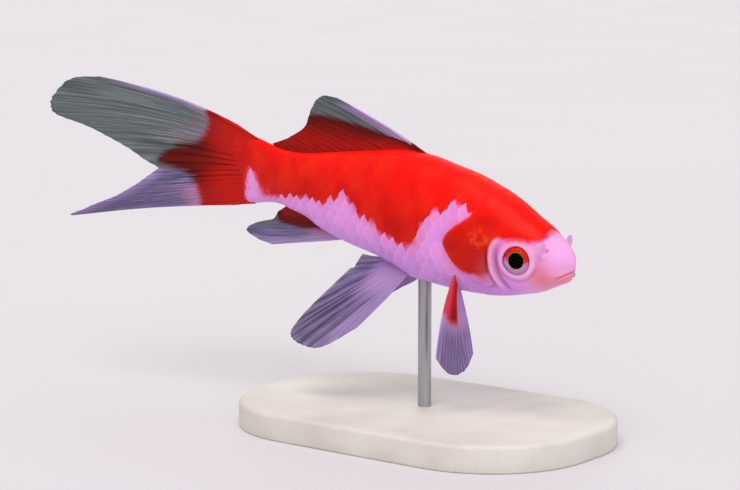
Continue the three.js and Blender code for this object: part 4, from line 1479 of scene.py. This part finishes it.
def capped(name, ring_list):
    """A closed body from rings, each end shut by a fan of faces."""
    sides = len(ring_list[0])
    ends = [ring_list[0].mean(0), ring_list[-1].mean(0)]
    points = np.vstack([*ring_list, *ends])
    count = len(ring_list) * sides
    made_faces = tube_faces(len(ring_list), sides).tolist()
    made_faces += [[count, i, (i + 1) % sides] for i in range(sides)]
    last = count - sides
    made_faces += [[count + 1, last + (i + 1) % sides, last + i] for i in range(sides)]
    made = piece(name, points, made_faces)
    face_outward(made)
    return made


flaps = {name: capped("nostril_flap_skin_" + name, [posed(r) for r in nostril_flap(side)])
         for name, side in (("left", 1), ("right", -1))}
print("nostril flaps:", [len(flap.data.polygons) for flap in flaps.values()], "faces each")

# %% Slab and rod
edge_turn = np.linspace(0, np.pi / 2, 7)
bevel, top_at = STAND["bevel"], STAND["height"]
slab_steps = [(0.5, 0.0), (0.15, 0.12), (0.0, 0.45), (0.0, 2.5)]
slab_steps += [(bevel * (1 - np.cos(t)), top_at - bevel * (1 - np.sin(t))) for t in edge_turn]
slab_steps += [(3.0, top_at), (9.0, top_at), (16.0, top_at), (22.0, top_at)]
slab = capped("stand_slab", [slab_ring(*step) for step in slab_steps])
rod_top = AXIS_HEIGHT - float(body_size(BELLY, OVER_ROD)) + ROD_IN_BELLY
rod_radius = STAND["rod"]
rod_profile = [(rod_radius, ROD_FROM), (rod_radius, top_at + 0.1), (rod_radius, rod_top / 2),
               (rod_radius, rod_top - 0.6), (rod_radius * 0.93, rod_top - 0.25),
               (rod_radius * 0.75, rod_top - 0.05), (rod_radius * 0.5, rod_top)]
rod = capped("stand_pin", lathe_rings(rod_profile, 40))
print("stand: slab", STAND["length"], "x", STAND["width"], "mm, rod to", round(rod_top, 1), "mm")

# %% [markdown]
# ## Colour of a living skin
# A goldfish's skin is wet and clear. Under it, red and orange cells lie over a silvery
# layer, so the red is deep and the bare places are pearly. The same marking nodes serve the
# skin and the scales: a border worked out in millimetres, roughened by noise of about a
# millimetre. The patterns read each point's place in the straight fish, in millimetres, so a
# noise with a scale of 1 / 6 has spots about 6 mm across.


# %% Scarlet and pearl
def material(name):
    """The material of that name, with its tree emptied but for the output and one shader."""
    made = bpy.data.materials.get(name) or bpy.data.materials.new(name)
    made.use_nodes = True
    made.node_tree.nodes.clear()
    shader = node(made.node_tree, "ShaderNodeBsdfPrincipled")
    node(made.node_tree, "ShaderNodeOutputMaterial", {"Surface": shader.outputs[0]})
    return made, made.node_tree, shader


def flesh_colours(tree, ragged, blur):
    """Scarlet over pearl, by the border on the mesh; ragged and blur are in mm."""
    where = node(tree, FIELD, out="Vector", attribute_name="fish")
    axes = node(tree, "ShaderNodeSeparateXYZ", {0: where})
    behind, up = axes.outputs[0], axes.outputs[2]
    wander = node(tree, NOISE, {"Vector": where, "Scale": 1 / 1.1, "Detail": 3}, 0)
    wander = node(tree, MATH, {0: wander, 1: 2 * ragged, 2: -ragged}, 0, operation="MULTIPLY_ADD")
    red = node(tree, FIELD, out="Fac", attribute_name="red")
    edge = node(tree, MATH, {0: red, 1: wander}, 0, operation="ADD")
    # The scarlet is darker low down, a painted shade of the flank turned from the light, and
    # darker towards the tail, and clouds of orange cells warm it.
    high = node(tree, STEP, {0: up, 1: -3.0, 2: 11.0}, 0, **SMOOTH)
    scarlet = node(tree, MIX, {0: high, 6: "#cb0d05", 7: "#f8120c"}, 2, **COLOURS)
    rear = node(tree, STEP, {0: behind, 1: 90.0, 2: 97.0, 4: 0.6}, 0, **SMOOTH)
    scarlet = node(tree, MIX, {0: rear, 6: scarlet, 7: "#b40e07"}, 2, **COLOURS)
    cloud = node(tree, NOISE, {"Vector": where, "Scale": 1 / 6}, 0)
    cloud = node(tree, STEP, {0: cloud, 1: 0.35, 2: 0.7, 4: 0.35}, 0, **SMOOTH)
    scarlet = node(tree, MIX, {0: cloud, 6: scarlet, 7: "#fb3311"}, 2, **COLOURS)
    # The pearl is more violet below, a painted cast of coloured light from beneath, and
    # flushes pink where it nears the red.
    low = node(tree, STEP, {0: up, 1: -12.0, 2: -3.0}, 0, **SMOOTH)
    pearl = node(tree, MIX, {0: low, 6: "#d296ec", 7: "#ea9aea"}, 2, **COLOURS)
    flush = node(tree, STEP, {0: edge, 1: -2.6, 2: -0.1, 4: 0.55}, 0, **SMOOTH)
    pearl = node(tree, MIX, {0: flush, 6: pearl, 7: "#ee7fb0"}, 2, **COLOURS)
    over = node(tree, STEP, {0: edge, 1: -blur, 2: blur}, 0, **SMOOTH)
    return node(tree, MIX, {0: over, 6: pearl, 7: scarlet}, 2, **COLOURS), edge, where


print("scarlet in linear light:", [round(c, 3) for c in colour("#f3150e")[:3]])

# %% [markdown]
# ## The bare skin of the head
# The head has no scales. Its skin is smooth over bone, salmon on lips and cheek, and pale on
# the ring round the eye and on the cheek's rear edge, partly a painted highlight on these raised
# edges. Painted shade darkens the folds, pits and slits, and the gill cover. Each tone is a soft
# weight laid where the form is, so form and colour can't drift apart.


# %% Tones of the head
def head_tones(points, fields):
    """A share from 0 to 1 of each tone, for each point of the skin."""
    behind, left, up = points.T
    out = np.abs(left)
    slit = up - lip_height(left)
    front = 1 - rise(behind, 2.4, 4.2)
    eye, cheek_gap, gill = fields["eye"], fields["cheek"], fields["gill"]
    on_side = rise(out, 1.5, 4)
    below = rise(-up, -1.0, 1.5)
    lips = (0.7 * hump(slit - 0.3, 0.75) + hump(slit + 0.8, 0.9)) * front
    cheek = 0.95 * hump(np.hypot(behind - 6.6, (up + 2.1) * 0.8), 2.6) * rise(eye, 3.6, 4.6)
    chin = 0.6 * hump(np.hypot(behind - 3.2, up + 4.2), 3.0)
    on_gill = rise(cheek_gap, 0.1, 0.9) * rise(gill, 0.0, 0.6)
    rust = 0.9 * hump(np.hypot(behind - 18.6, (up + 3.8) * 0.6), 2.0) * on_gill
    blotch = np.hypot((behind - 20.3) * 0.75, up - 2.5)
    ember = hump(blotch - 1.2, 0.8) * on_gill
    # Painted shade over the gill cover, inside its margin.
    painted_gill_shade = 0.5 * on_gill * rise(gill, 0.3, 1.6) * (1 - ember)
    ends = rise(up, -8.2, -6.0) * (1 - rise(up, 2.8, 4.2)) * on_side
    # Painted shade in the mouth's slit, the cheek's grooves, the gill's crease, round and under the
    # eye and in the nostril's pit; the dark heart of the orange blotch is the fish's own colour.
    dark = 0.35 * hump(slit, 0.13) * front * rise(-out, -3.1, -2.5) + 0.3 * hump(blotch, 0.7)
    dark += 0.8 * hump(cheek_gap - 0.3, 0.35) * ends * rise(-up, -2.5, 0.5)
    dark += 0.7 * hump(cheek_gap + 2.0, 0.6) * ends * rise(-up, -4, 0)
    dark += 0.5 * hump(gill + 0.3, 0.3) * on_side * rise(cheek_gap, 0, 1) * (1 - rise(up, -1, 4))
    dark += 0.9 * hump(eye - 3.02, 0.14) * below + 0.3 * hump(eye - 3.0, 0.12)
    dark += 0.3 * hump(eye - 4.6, 0.35) * below
    dark += 0.5 * hump(nostril_pit(behind, up), 0.35) * rise(out, 2.2, 3.2)
    # Pale, partly the skin's own tone and partly a painted highlight on the raised rim of the eye
    # and the cheek's rear edge.
    pale = 0.75 * hump(eye - 3.6, 0.4) + 0.9 * hump(cheek_gap + 0.75, 0.5) * ends
    shares = {"lips": lips, "blush": cheek + chin, "rust": rust, "ember": ember, "painted_gill_shade": painted_gill_shade,
              "dark": dark, "pale": pale}
    return {name: np.clip(share, 0, 1) for name, share in shares.items()}


for made in (skin, *rims.values()):
    straight = values_of(made.data, "fish")
    for name, share in head_tones(straight, head_relief(straight)[1]).items():
        keep(made.data, name, share)
print("tones on:", [made.name for made in (skin, *rims.values())])

# %% Skin material
# Wet fish skin: clear mucus over pigment, so a smooth soft gloss over deep colour.
head_skin, tree, shader = material("wet_fish_skin")
shown, edge, where = flesh_colours(tree, 0.4, 0.5)
behind = node(tree, "ShaderNodeSeparateXYZ", {0: where}, 0)
not_red = node(tree, STEP, {0: edge, 1: -0.5, 2: 0.4, 3: 1.0, 4: 0.0}, 0, **SMOOTH)
on_red = node(tree, MATH, {0: 1.0, 1: not_red}, 0, operation="SUBTRACT")
front = node(tree, STEP, {0: behind, 1: 4.0, 2: 14.0}, 0, **SMOOTH)
front = node(tree, STEP, {0: front, 3: 0.75, 4: 0.0}, 0, **SMOOTH)
snout = node(tree, MATH, {0: not_red, 1: front}, 0, operation="MULTIPLY")
shown = node(tree, MIX, {0: snout, 6: shown, 7: "#f6b4e8"}, 2, **COLOURS)
mottle = node(tree, NOISE, {"Vector": where, "Scale": 1 / 1.5, "Detail": 3}, 0)
mottle = node(tree, STEP, {0: mottle, 1: 0.35, 2: 0.7}, 0, **SMOOTH)
mottled_red = node(tree, MATH, {0: on_red, 1: mottle}, 0, operation="MULTIPLY")
# Each tone's strength and colour, and where on the head it may show.
for name, strength, tone, only in (
    # Painted shade over the gill cover.
    ("painted_gill_shade", 0.65, "#a01106", on_red),
    ("ember", 0.85, "#f05a1c", mottled_red),
    ("rust", 0.75, "#bd4547", 1.0),
    ("blush", 0.7, "#e8706e", 1.0),
    ("lips", 0.7, "#e8848e", 1.0),
    # Partly a painted highlight on raised edges.
    ("pale", 0.65, "#f4c3dc", 1.0),
    # Mostly painted shade in folds, pits and slits.
    ("dark", 0.7, "#5d1c3a", 1.0),
):
    share = node(tree, FIELD, out="Fac", attribute_name=name)
    share = node(tree, MATH, {0: share, 1: strength}, 0, operation="MULTIPLY")
    share = node(tree, MATH, {0: share, 1: only}, 0, operation="MULTIPLY")
    shown = node(tree, MIX, {0: share, 6: shown, 7: tone}, 2, **COLOURS)
freckle = node(tree, NOISE, {"Vector": where, "Scale": 1 / 0.35}, 0)
freckle = node(tree, STEP, {0: freckle, 1: 0.52, 2: 0.75, 4: 0.015}, 0, **SMOOTH)
shown = node(tree, MIX, {0: freckle, 6: shown, 7: "#ffd9cf"}, 2, **COLOURS)
# The web before the tail fin takes the fin's darker red, in streaks along its rays.
threads = node(tree, "ShaderNodeMapping", {0: where, "Scale": (0.12, 0.5, 2.2)}, 0)
streak = node(tree, NOISE, {"Vector": threads, "Scale": 1.0}, 0)
streak = node(tree, STEP, {0: streak, 1: 0.35, 2: 0.6, 4: 0.8}, 0, **SMOOTH)
web = node(tree, STEP, {0: behind, 1: 92.5, 2: 97.0}, 0, **SMOOTH)
web = node(tree, MATH, {0: web, 1: streak}, 0, operation="MULTIPLY")
shown = node(tree, MIX, {0: web, 6: shown, 7: "#c0130a"}, 2, **COLOURS)
pores = node(tree, NOISE, {"Vector": where, "Scale": 1 / 0.5, "Detail": 3}, 0)
dents = node(tree, NOISE, {"Vector": where, "Scale": 1 / 2.2}, 0)
pores = node(tree, MATH, {0: dents, 1: 2.0, 2: pores}, 0, operation="MULTIPLY_ADD")
feed(tree, shader, {
    "Base Color": shown,
    "Normal": node(tree, "ShaderNodeBump", {"Height": pores, "Distance": 0.03 * MM}, 0),
    "Roughness": 0.38, "IOR": 1.4, "Specular IOR Level": 0.09,
    "Coat Weight": 0.04, "Coat Roughness": 0.15,
})
for made in (skin, *rims.values()):
    made.data.materials.append(head_skin)
print("skin material:", len(tree.nodes), "nodes")

# %% [markdown]
# ## Scales that shine
# A scale is a clear horny plate over a silvery bed. Its front, under the scale before it, is
# a little darker, a painted shade; its rear rim is thinner and paler on the pearl, and fine
# growth rings run round its root. Each scale is a little lighter or darker than the next. A
# thin clear coat stands for the mucus over it.

# %% Scale material
# Fish scale: clear ringed plate on a silver bed, so each one has its own small gleam.
_, tree, shader = material("scale_scarlet_and_pearl")
shown, edge, where = flesh_colours(tree, 0.5, 0.55)
on_plate = node(tree, FIELD, out="Vector", attribute_name="on_scale")
lengthwise = node(tree, "ShaderNodeSeparateXYZ", {0: on_plate}, 0)
# Painted shade: each plate is a little darker at its front, under the plate before it.
shade = node(tree, STEP, {0: lengthwise, 1: 0.02, 2: 0.2, 3: 0.05, 4: 0.0}, 0, **SMOOTH)
shown = node(tree, MIX, {0: shade, 6: shown, 7: "#9a0606"}, 2, **COLOURS)
rim = node(tree, STEP, {0: lengthwise, 1: 0.36, 2: 0.48}, 0, **SMOOTH)
on_pearl = node(tree, STEP, {0: edge, 1: -0.8, 2: 0.2, 3: 0.2, 4: 0.0}, 0, **SMOOTH)
rim = node(tree, MATH, {0: rim, 1: on_pearl}, 0, operation="MULTIPLY")
shown = node(tree, MIX, {0: rim, 6: shown, 7: "#f6d3f2"}, 2, **COLOURS)
tint = node(tree, FIELD, out="Fac", attribute_name="tint")
tint = node(tree, MATH, {0: tint, 1: 0.06, 2: 1.0}, 0, operation="MULTIPLY_ADD")
shown = node(tree, "ShaderNodeHueSaturation", {"Value": tint, "Color": shown}, 0)
from_root = node(tree, "ShaderNodeVectorMath", {0: on_plate, 1: (-0.35, 0.0, 0.0)}, "Value",
                 operation="DISTANCE")
wave = node(tree, MATH, {0: from_root, 1: 150.0}, 0, operation="MULTIPLY")
wave = node(tree, MATH, {0: wave}, 0, operation="SINE")
ring_depth = node(tree, STEP, {0: edge, 1: -0.8, 2: 0.2, 3: 0.15, 4: 0.04}, 0, **SMOOTH)
fine = node(tree, NOISE, {"Vector": where, "Scale": 1 / 0.6}, 0)
fine = node(tree, MATH, {0: wave, 1: ring_depth, 2: fine}, 0, operation="MULTIPLY_ADD")
feed(tree, shader, {
    "Base Color": shown,
    "Normal": node(tree, "ShaderNodeBump", {"Height": fine, "Distance": 0.02 * MM}, 0),
    "Roughness": 0.4, "IOR": 1.45, "Specular IOR Level": 0.09,
    "Coat Weight": 0.03, "Coat Roughness": 0.15,
})
print("scale material:", len(tree.nodes), "nodes")

# %% [markdown]
# ## Iris, pupil and window
# The iris of the living fish is a metallic ring. From the pupil outwards it is a thin gold
# line, then scarlet in its upper part and pinkish silver below. The window is clear, smooth
# and thin. Its refraction is that of an eye's front under water, which is slight. These
# patterns read Object coordinates, in metres: a scale of 2600 gives spots of 0.4 mm.

# %% Iris material
# Iris: pigment over a mirror layer, so it gleams faintly through the colour.
iris, tree, shader = material("iris_gold_and_scarlet")
radial = node(tree, FIELD, out="Fac", attribute_name="radial")
height = node(tree, FIELD, out="Fac", attribute_name="height")
where = node(tree, "ShaderNodeTexCoord", out="Object")
fibres = node(tree, NOISE, {"Vector": where, "Scale": 2600.0}, 0)
upper = node(tree, MATH, {0: fibres, 1: 0.6, 2: height}, 0, operation="MULTIPLY_ADD")
scarlet_part = node(tree, STEP, {0: upper, 1: -0.7, 2: 0.9}, 0, **SMOOTH)
shown = node(tree, MIX, {0: scarlet_part, 6: "#e0a0d6", 7: "#f0280c"}, 2, **COLOURS)
smoke = node(tree, STEP, {0: radial, 1: 1.9, 2: 2.3, 3: 0.6, 4: 0.0}, 0, **SMOOTH)
smoke = node(tree, MATH, {0: smoke, 1: scarlet_part}, 0, operation="MULTIPLY")
shown = node(tree, MIX, {0: smoke, 6: shown, 7: "#8a1206"}, 2, **COLOURS)
gold = node(tree, STEP, {0: radial, 1: 1.84, 2: 1.96, 3: 1.0, 4: 0.0}, 0, **SMOOTH)
shown = node(tree, MIX, {0: gold, 6: shown, 7: "#eeb070"}, 2, **COLOURS)
outer = node(tree, STEP, {0: radial, 1: 2.6, 2: 2.95}, 0, **SMOOTH)
pale_part = node(tree, MATH, {0: scarlet_part, 1: -0.85, 2: 0.85}, 0, operation="MULTIPLY_ADD")
pale_rim = node(tree, MATH, {0: outer, 1: pale_part}, 0, operation="MULTIPLY")
shown = node(tree, MIX, {0: pale_rim, 6: shown, 7: "#ecc3dc"}, 2, **COLOURS)
red_rim = node(tree, MATH, {0: outer, 1: scarlet_part}, 0, operation="MULTIPLY")
shown = node(tree, MIX, {0: red_rim, 6: shown, 7: "#c01006"}, 2, **COLOURS)
black = node(tree, STEP, {0: radial, 1: PUPIL + 0.02, 2: PUPIL + 0.1, 3: 1.0, 4: 0.0}, 0, **SMOOTH)
shown = node(tree, MIX, {0: black, 6: shown, 7: "#020203"}, 2, **COLOURS)
feed(tree, shader, {
    "Base Color": shown,
    "Metallic": node(tree, MATH, {0: black, 1: -0.05, 2: 0.05}, 0, operation="MULTIPLY_ADD"),
    "Normal": node(tree, "ShaderNodeBump", {"Height": fibres, "Distance": 0.04 * MM}, 0),
    "Roughness": 0.4, "Specular IOR Level": 0.03,
})
print("iris material:", len(tree.nodes), "nodes")

# %% Window and flap materials
# The eye's window: clear watery tissue, a smooth thin lens that only its glints betray.
window_film, tree, shader = material("clear_eye_window")
where = node(tree, "ShaderNodeTexCoord", out="Object")
mist = node(tree, NOISE, {"Vector": where, "Scale": 900.0}, 0)
feed(tree, shader, {
    "Roughness": node(tree, STEP, {0: mist, 1: 0.3, 2: 0.8, 3: 0.0, 4: 0.03}, 0, **SMOOTH),
    "Transmission Weight": 1.0, "IOR": 1.06,
})
for name in ("left", "right"):
    eyes[name].data.materials.append(iris)
    windows[name].data.materials.append(window_film)
    windows[name].visible_shadow = False

# Nostril flap: a thin tab of bare skin, so pale that light makes it glow.
tab_skin, tree, shader = material("nostril_flap_skin")
where = node(tree, "ShaderNodeTexCoord", out="Object")
veins = node(tree, NOISE, {"Vector": where, "Scale": 1500.0}, 0)
feed(tree, shader, {
    "Base Color": node(tree, MIX, {0: veins, 6: "#f0a6e0", 7: "#f8b6ea"}, 2, **COLOURS),
    "Normal": node(tree, "ShaderNodeBump", {"Height": veins, "Distance": 0.05 * MM}, 0),
    "Roughness": 0.35, "Alpha": 0.95,
})
for made in flaps.values():
    made.data.materials.append(tab_skin)
print("flap material:", len(tree.nodes), "nodes")

# %% [markdown]
# ## Fins like stiffened silk
# The membrane is nearly clear, greyed by scattered light, and stained red where pigment
# follows the rays. The rays are denser and a little paler. Both let some light through, so
# the shader's alpha is under 1, and nearer to it in the red part.


# %% Fin materials
def fin_material(name, greys, lavenders, opacity, roughness):
    """Grey or lavender by the tones of the fin, red by its border; a thread runs in both."""
    _, tree, shader = material(name)
    where = node(tree, FIELD, out="Vector", attribute_name="fish")
    across, along, red_here, lilac, rose, painted_light, glow, folds = (
        node(tree, FIELD, out="Fac", attribute_name=stored)
        for stored in ("across", "along", "red", "lilac", "rose", "painted_light", "glow", "folds"))
    # Two noises drawn out along the rays, a coarse one and a fine one.
    run = node(tree, MATH, {0: along, 1: 2.4}, 0, operation="MULTIPLY")
    noises = []
    for fineness in (2.2, 6.5):
        lane = node(tree, MATH, {0: across, 1: fineness}, 0, operation="MULTIPLY")
        lane = node(tree, "ShaderNodeCombineXYZ", {0: lane, 1: run}, 0)
        noises.append(node(tree, NOISE, {"Vector": lane, "Scale": 1.0}, 0))
    streak, thread = noises
    line = node(tree, STEP, {0: thread, 1: 0.38, 2: 0.62}, 0, **SMOOTH)

    grey = node(tree, MIX, {0: line, 6: greys[0], 7: greys[1]}, 2, **COLOURS)
    lavender = node(tree, MIX, {0: line, 6: lavenders[0], 7: lavenders[1]}, 2, **COLOURS)
    pale = node(tree, MIX, {0: lilac, 6: grey, 7: lavender}, 2, **COLOURS)
    rosy = node(tree, MATH, {0: rose, 1: 0.75}, 0, operation="MULTIPLY")
    pale = node(tree, MIX, {0: rosy, 6: pale, 7: "#cf93bd"}, 2, **COLOURS)
    # Painted light: front rays, edges and tips are lightened, in threads, as if lit.
    lit = node(tree, STEP, {0: line, 3: 0.6, 4: 1.0}, 0, **SMOOTH)
    lit = node(tree, MATH, {0: painted_light, 1: lit}, 0, operation="MULTIPLY")
    pale = node(tree, MIX, {0: lit, 6: pale, 7: "#c0a0de"}, 2, **COLOURS)

    wander = node(tree, MATH, {0: thread, 1: 5.0, 2: -2.5}, 0, operation="MULTIPLY_ADD")
    edge = node(tree, MATH, {0: red_here, 1: wander}, 0, operation="ADD")
    far_in = node(tree, MATH, {0: streak, 1: 8.0, 2: edge}, 0, operation="MULTIPLY_ADD")
    far_in = node(tree, STEP, {0: far_in, 1: 4.0, 2: 14.0}, 0, **SMOOTH)
    red = node(tree, MIX, {0: far_in, 6: "#5c0a04", 7: "#a80f07"}, 2, **COLOURS)
    glow = node(tree, MATH, {0: glow, 1: 0.8}, 0, operation="MULTIPLY")
    red = node(tree, MIX, {0: glow, 6: red, 7: "#d0180e"}, 2, **COLOURS)
    rosy = node(tree, MATH, {0: rose, 1: 0.65}, 0, operation="MULTIPLY")
    red = node(tree, MIX, {0: rosy, 6: red, 7: "#e8506a"}, 2, **COLOURS)
    over = node(tree, STEP, {0: edge, 1: -0.9, 2: 0.9}, 0, **SMOOTH)
    shown = node(tree, MIX, {0: over, 6: pale, 7: red}, 2, **COLOURS)

    # A fold lies between each pair of rays, deeper here and shallower there, and a painted shade
    # darkens it.
    between = node(tree, MATH, {0: across, 1: 2 * math.pi}, 0, operation="MULTIPLY")
    between = node(tree, MATH, {0: between}, 0, operation="COSINE")
    fold = node(tree, MATH, {0: streak, 1: 1.2, 2: 0.3}, 0, operation="MULTIPLY_ADD")
    fold = node(tree, MATH, {0: between, 1: -0.3, 2: fold}, 0, operation="MULTIPLY_ADD")
    dark = node(tree, STEP, {0: fold, 1: 0.85, 2: 1.15, 4: 0.85}, 0, **SMOOTH)
    gaps = node(tree, STEP, {0: thread, 1: 0.3, 2: 0.6}, 0, **SMOOTH)
    dark = node(tree, MATH, {0: dark, 1: gaps}, 0, operation="MULTIPLY")
    dark = node(tree, MATH, {0: dark, 1: folds}, 0, operation="MULTIPLY")
    shown = node(tree, MIX, {0: dark, 6: shown, 7: "#6b5a62"}, 2, blend_type="MULTIPLY", **COLOURS)

    joints = node(tree, MATH, {0: along, 1: 260.0}, 0, operation="MULTIPLY")
    joints = node(tree, MATH, {0: joints}, 0, operation="SINE")
    ripple = node(tree, NOISE, {"Vector": where, "Scale": 1 / 0.5}, 0)
    ripple = node(tree, MATH, {0: joints, 1: 0.2, 2: ripple}, 0, operation="MULTIPLY_ADD")
    # Pigment makes the red part denser, so less of what lies behind shows through it.
    feed(tree, shader, {
        "Base Color": shown,
        "Normal": node(tree, "ShaderNodeBump", {"Height": ripple, "Distance": 0.05 * MM}, 0),
        "Alpha": node(tree, STEP, {0: edge, 1: -2.0, 2: 1.0, 3: opacity, 4: 0.97}, 0, **SMOOTH),
        "Roughness": roughness, "IOR": 1.4, "Specular IOR Level": 0.15,
    })
    print(name + ":", len(tree.nodes), "nodes")


# Fin membrane: clear wet skin, so what lies behind shows through it faintly.
fin_material("fin_membrane", ("#52605d", "#75827f"), ("#554673", "#846dab"), 0.85, 0.45)
# Fin ray: jointed bony thread, so it is denser and catches a thin line of light.
fin_material("fin_ray", ("#66736f", "#939f9b"), ("#8069a6", "#a98fce"), 0.95, 0.4)

# %% [markdown]
# ## Stone and steel
# The slab is honed limestone: matt, warm white, with faint clouds and a few darker grains.
# The pin is ground steel, with fine rings from the wheel: its noise is squeezed flat, to a
# scale of 150 to the metre round it and 2500 up it.

# %% Stand materials
# Honed limestone: matt and even, with grains of shell a fraction of a millimetre across.
limestone, tree, shader = material("honed_limestone")
where = node(tree, "ShaderNodeTexCoord", out="Object")
where = node(tree, "ShaderNodeVectorMath", {0: where, 1: (1000, 1000, 1000)}, 0,
             operation="MULTIPLY")
clouds = node(tree, NOISE, {"Vector": where, "Scale": 1 / 14, "Detail": 4}, 0)
clouds = node(tree, STEP, {0: clouds, 1: 0.3, 2: 0.7}, 0, **SMOOTH)
shown = node(tree, MIX, {0: clouds, 6: "#d6d0c6", 7: "#e3ded6"}, 2, **COLOURS)
grains = node(tree, NOISE, {"Vector": where, "Scale": 1 / 0.5, "Detail": 3, "Roughness": 0.7}, 0)
spots = node(tree, STEP, {0: grains, 1: 0.58, 2: 0.72, 3: 0.0, 4: 0.45}, 0, **SMOOTH)
feed(tree, shader, {
    "Base Color": node(tree, MIX, {0: spots, 6: shown, 7: "#b3a996"}, 2, **COLOURS),
    "Roughness": node(tree, STEP, {0: grains, 1: 0.3, 2: 0.7, 3: 0.5, 4: 0.62}, 0, **SMOOTH),
    "Normal": node(tree, "ShaderNodeBump", {"Height": grains, "Distance": 0.04 * MM}, 0),
})
slab.data.materials.append(limestone)

# Ground steel: grey metal with a soft sheen drawn out by fine rings.
steel, tree, shader = material("ground_steel")
where = node(tree, "ShaderNodeTexCoord", out="Object")
where = node(tree, "ShaderNodeVectorMath", {0: where, 1: (150, 150, 2500)}, 0,
             operation="MULTIPLY")
lines = node(tree, NOISE, {"Vector": where, "Scale": 1.0}, 0)
feed(tree, shader, {
    "Base Color": node(tree, MIX, {0: lines, 6: "#a9acb0", 7: "#b8babd"}, 2, **COLOURS),
    "Roughness": node(tree, STEP, {0: lines, 1: 0.3, 2: 0.7, 3: 0.38, 4: 0.48}, 0, **SMOOTH),
    "Normal": node(tree, "ShaderNodeBump", {"Height": lines, "Distance": 0.0015 * MM}, 0),
    "Metallic": 1.0,
})
rod.data.materials.append(steel)
print("steel material:", len(tree.nodes), "nodes")

# %% [markdown]
# ## Tell the frame what is what
# Every piece rides on the one body, and the solids that it stands for are hidden.


# %% Pieces and their solids
def stands_for(made, slot, *nodes):
    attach(made, "root")
    if nodes:
        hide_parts(*nodes)
    dressed.append(made.name)


dressed = []
FLESH = ("head", "lower_jaw", "gill_cover_left", "gill_cover_right", "trunk", "tail_stalk")
stands_for(skin, "skin_pearl", *FLESH)
stands_for(scales, "skin_red", "trunk", "tail_stalk")
for name in ("left", "right"):
    stands_for(eyes[name], "eye", "eye_" + name)
    stands_for(windows[name], "eye", "eye_" + name)
    stands_for(rims[name], "skin_pearl")
    stands_for(flaps[name], "skin_pearl", "nostril_flap_" + name)
for name, made in fin_pieces.items():
    for one in made:
        stands_for(one, "fin", name)
stands_for(slab, "stand_stone", "stand_base")
stands_for(rod, "stand_steel", "stand_rod")
print("pieces:", len(dressed))

# %% [markdown]
# ## Floor, light and camera
# A plain pale floor and three soft lamps, as in a small product studio. The camera looks
# down a little at the fish's right side, from ahead of it.

# %% Floor and lamps
# Floor paper: matt and almost white.
paper, tree, shader = material("pale_floor_paper")
where = node(tree, "ShaderNodeTexCoord", out="Object")
mottle = node(tree, NOISE, {"Vector": where, "Scale": 4.0}, 0)
feed(tree, shader, {
    "Base Color": node(tree, MIX, {0: mottle, 6: "#d9d7da", 7: "#dfdde0"}, 2, **COLOURS),
    "Roughness": 0.8,
})
FLOOR_HALF = 12000
floor = piece("floor", np.array([(-1, -1, 0), (1, -1, 0), (1, 1, 0), (-1, 1, 0)]) * FLOOR_HALF,
              [(0, 1, 2, 3)], smooth=False)
floor.data.materials.append(paper)

# What the camera and the lamps are aimed at, in metres.
CENTRE = (0.00597, -0.0275, 0.046)


def aim(thing, target):
    away = Vector(target) - thing.location
    thing.rotation_euler = away.to_track_quat("-Z", "Y").to_euler()


def soft_lamp(name, place, strength, spread, tone):
    """A lamp far away: spread is how wide it looks, in degrees, and so how soft its shade."""
    light = bpy.data.lights.new(name, "SUN")
    light.energy, light.angle = strength, math.radians(spread)
    light.color = colour(tone)[:3]
    lamp = bpy.data.objects.new(name, light)
    lamp.location = place
    bpy.context.scene.collection.objects.link(lamp)
    aim(lamp, CENTRE)


soft_lamp("key", (0.5, -1.3, 2.4), 1.6, 40, "#fff8f4")
soft_lamp("fill", (2.2, -0.9, 0.9), 0.5, 60, "#f6eeff")
soft_lamp("back", (-1.6, 1.6, 1.8), 0.5, 50, "#ffffff")
print("lamps:", len(bpy.data.lights))

# %% Air of the studio
AIR_STRENGTH = 0.65
world = bpy.data.worlds.new("studio_air")
world.use_nodes = True
air = world.node_tree
light_rays = air.nodes["Background"]
feed(air, light_rays, {0: "#ebe9ec", 1: AIR_STRENGTH})
# What shows beyond the floor's far edge has the floor's own tone, so no line marks it.
seen = node(air, "ShaderNodeBackground", {0: "#eae7ea", 1: 1.0}, 0)
to_camera = node(air, "ShaderNodeLightPath", out="Is Camera Ray")
either = node(air, "ShaderNodeMixShader", {0: to_camera, 1: light_rays.outputs[0], 2: seen}, 0)
feed(air, air.nodes["World Output"], {0: either})
bpy.context.scene.world = world
print("air:", len(air.nodes), "nodes")

# %% Camera
# Degrees round from straight abeam, degrees above, metres away; then the lens, in mm.
CAMERA_TURN, CAMERA_RISE, CAMERA_AWAY = math.radians(38), math.radians(7.99), 0.45
SENSOR, LENS = 36.0, 104.11
camera_data = bpy.data.cameras.new("camera")
camera_data.sensor_width = SENSOR
camera_data.lens = LENS
camera = bpy.data.objects.new("camera", camera_data)
camera.location = Vector(CENTRE) + CAMERA_AWAY * Vector(
    (math.cos(CAMERA_RISE) * math.sin(CAMERA_TURN), -math.cos(CAMERA_RISE) * math.cos(CAMERA_TURN),
     math.sin(CAMERA_RISE)))
bpy.context.scene.collection.objects.link(camera)
aim(camera, CENTRE)
bpy.context.scene.camera = camera
bpy.context.scene.view_settings.view_transform = "Standard"
print("camera at", [round(c, 4) for c in camera.location])
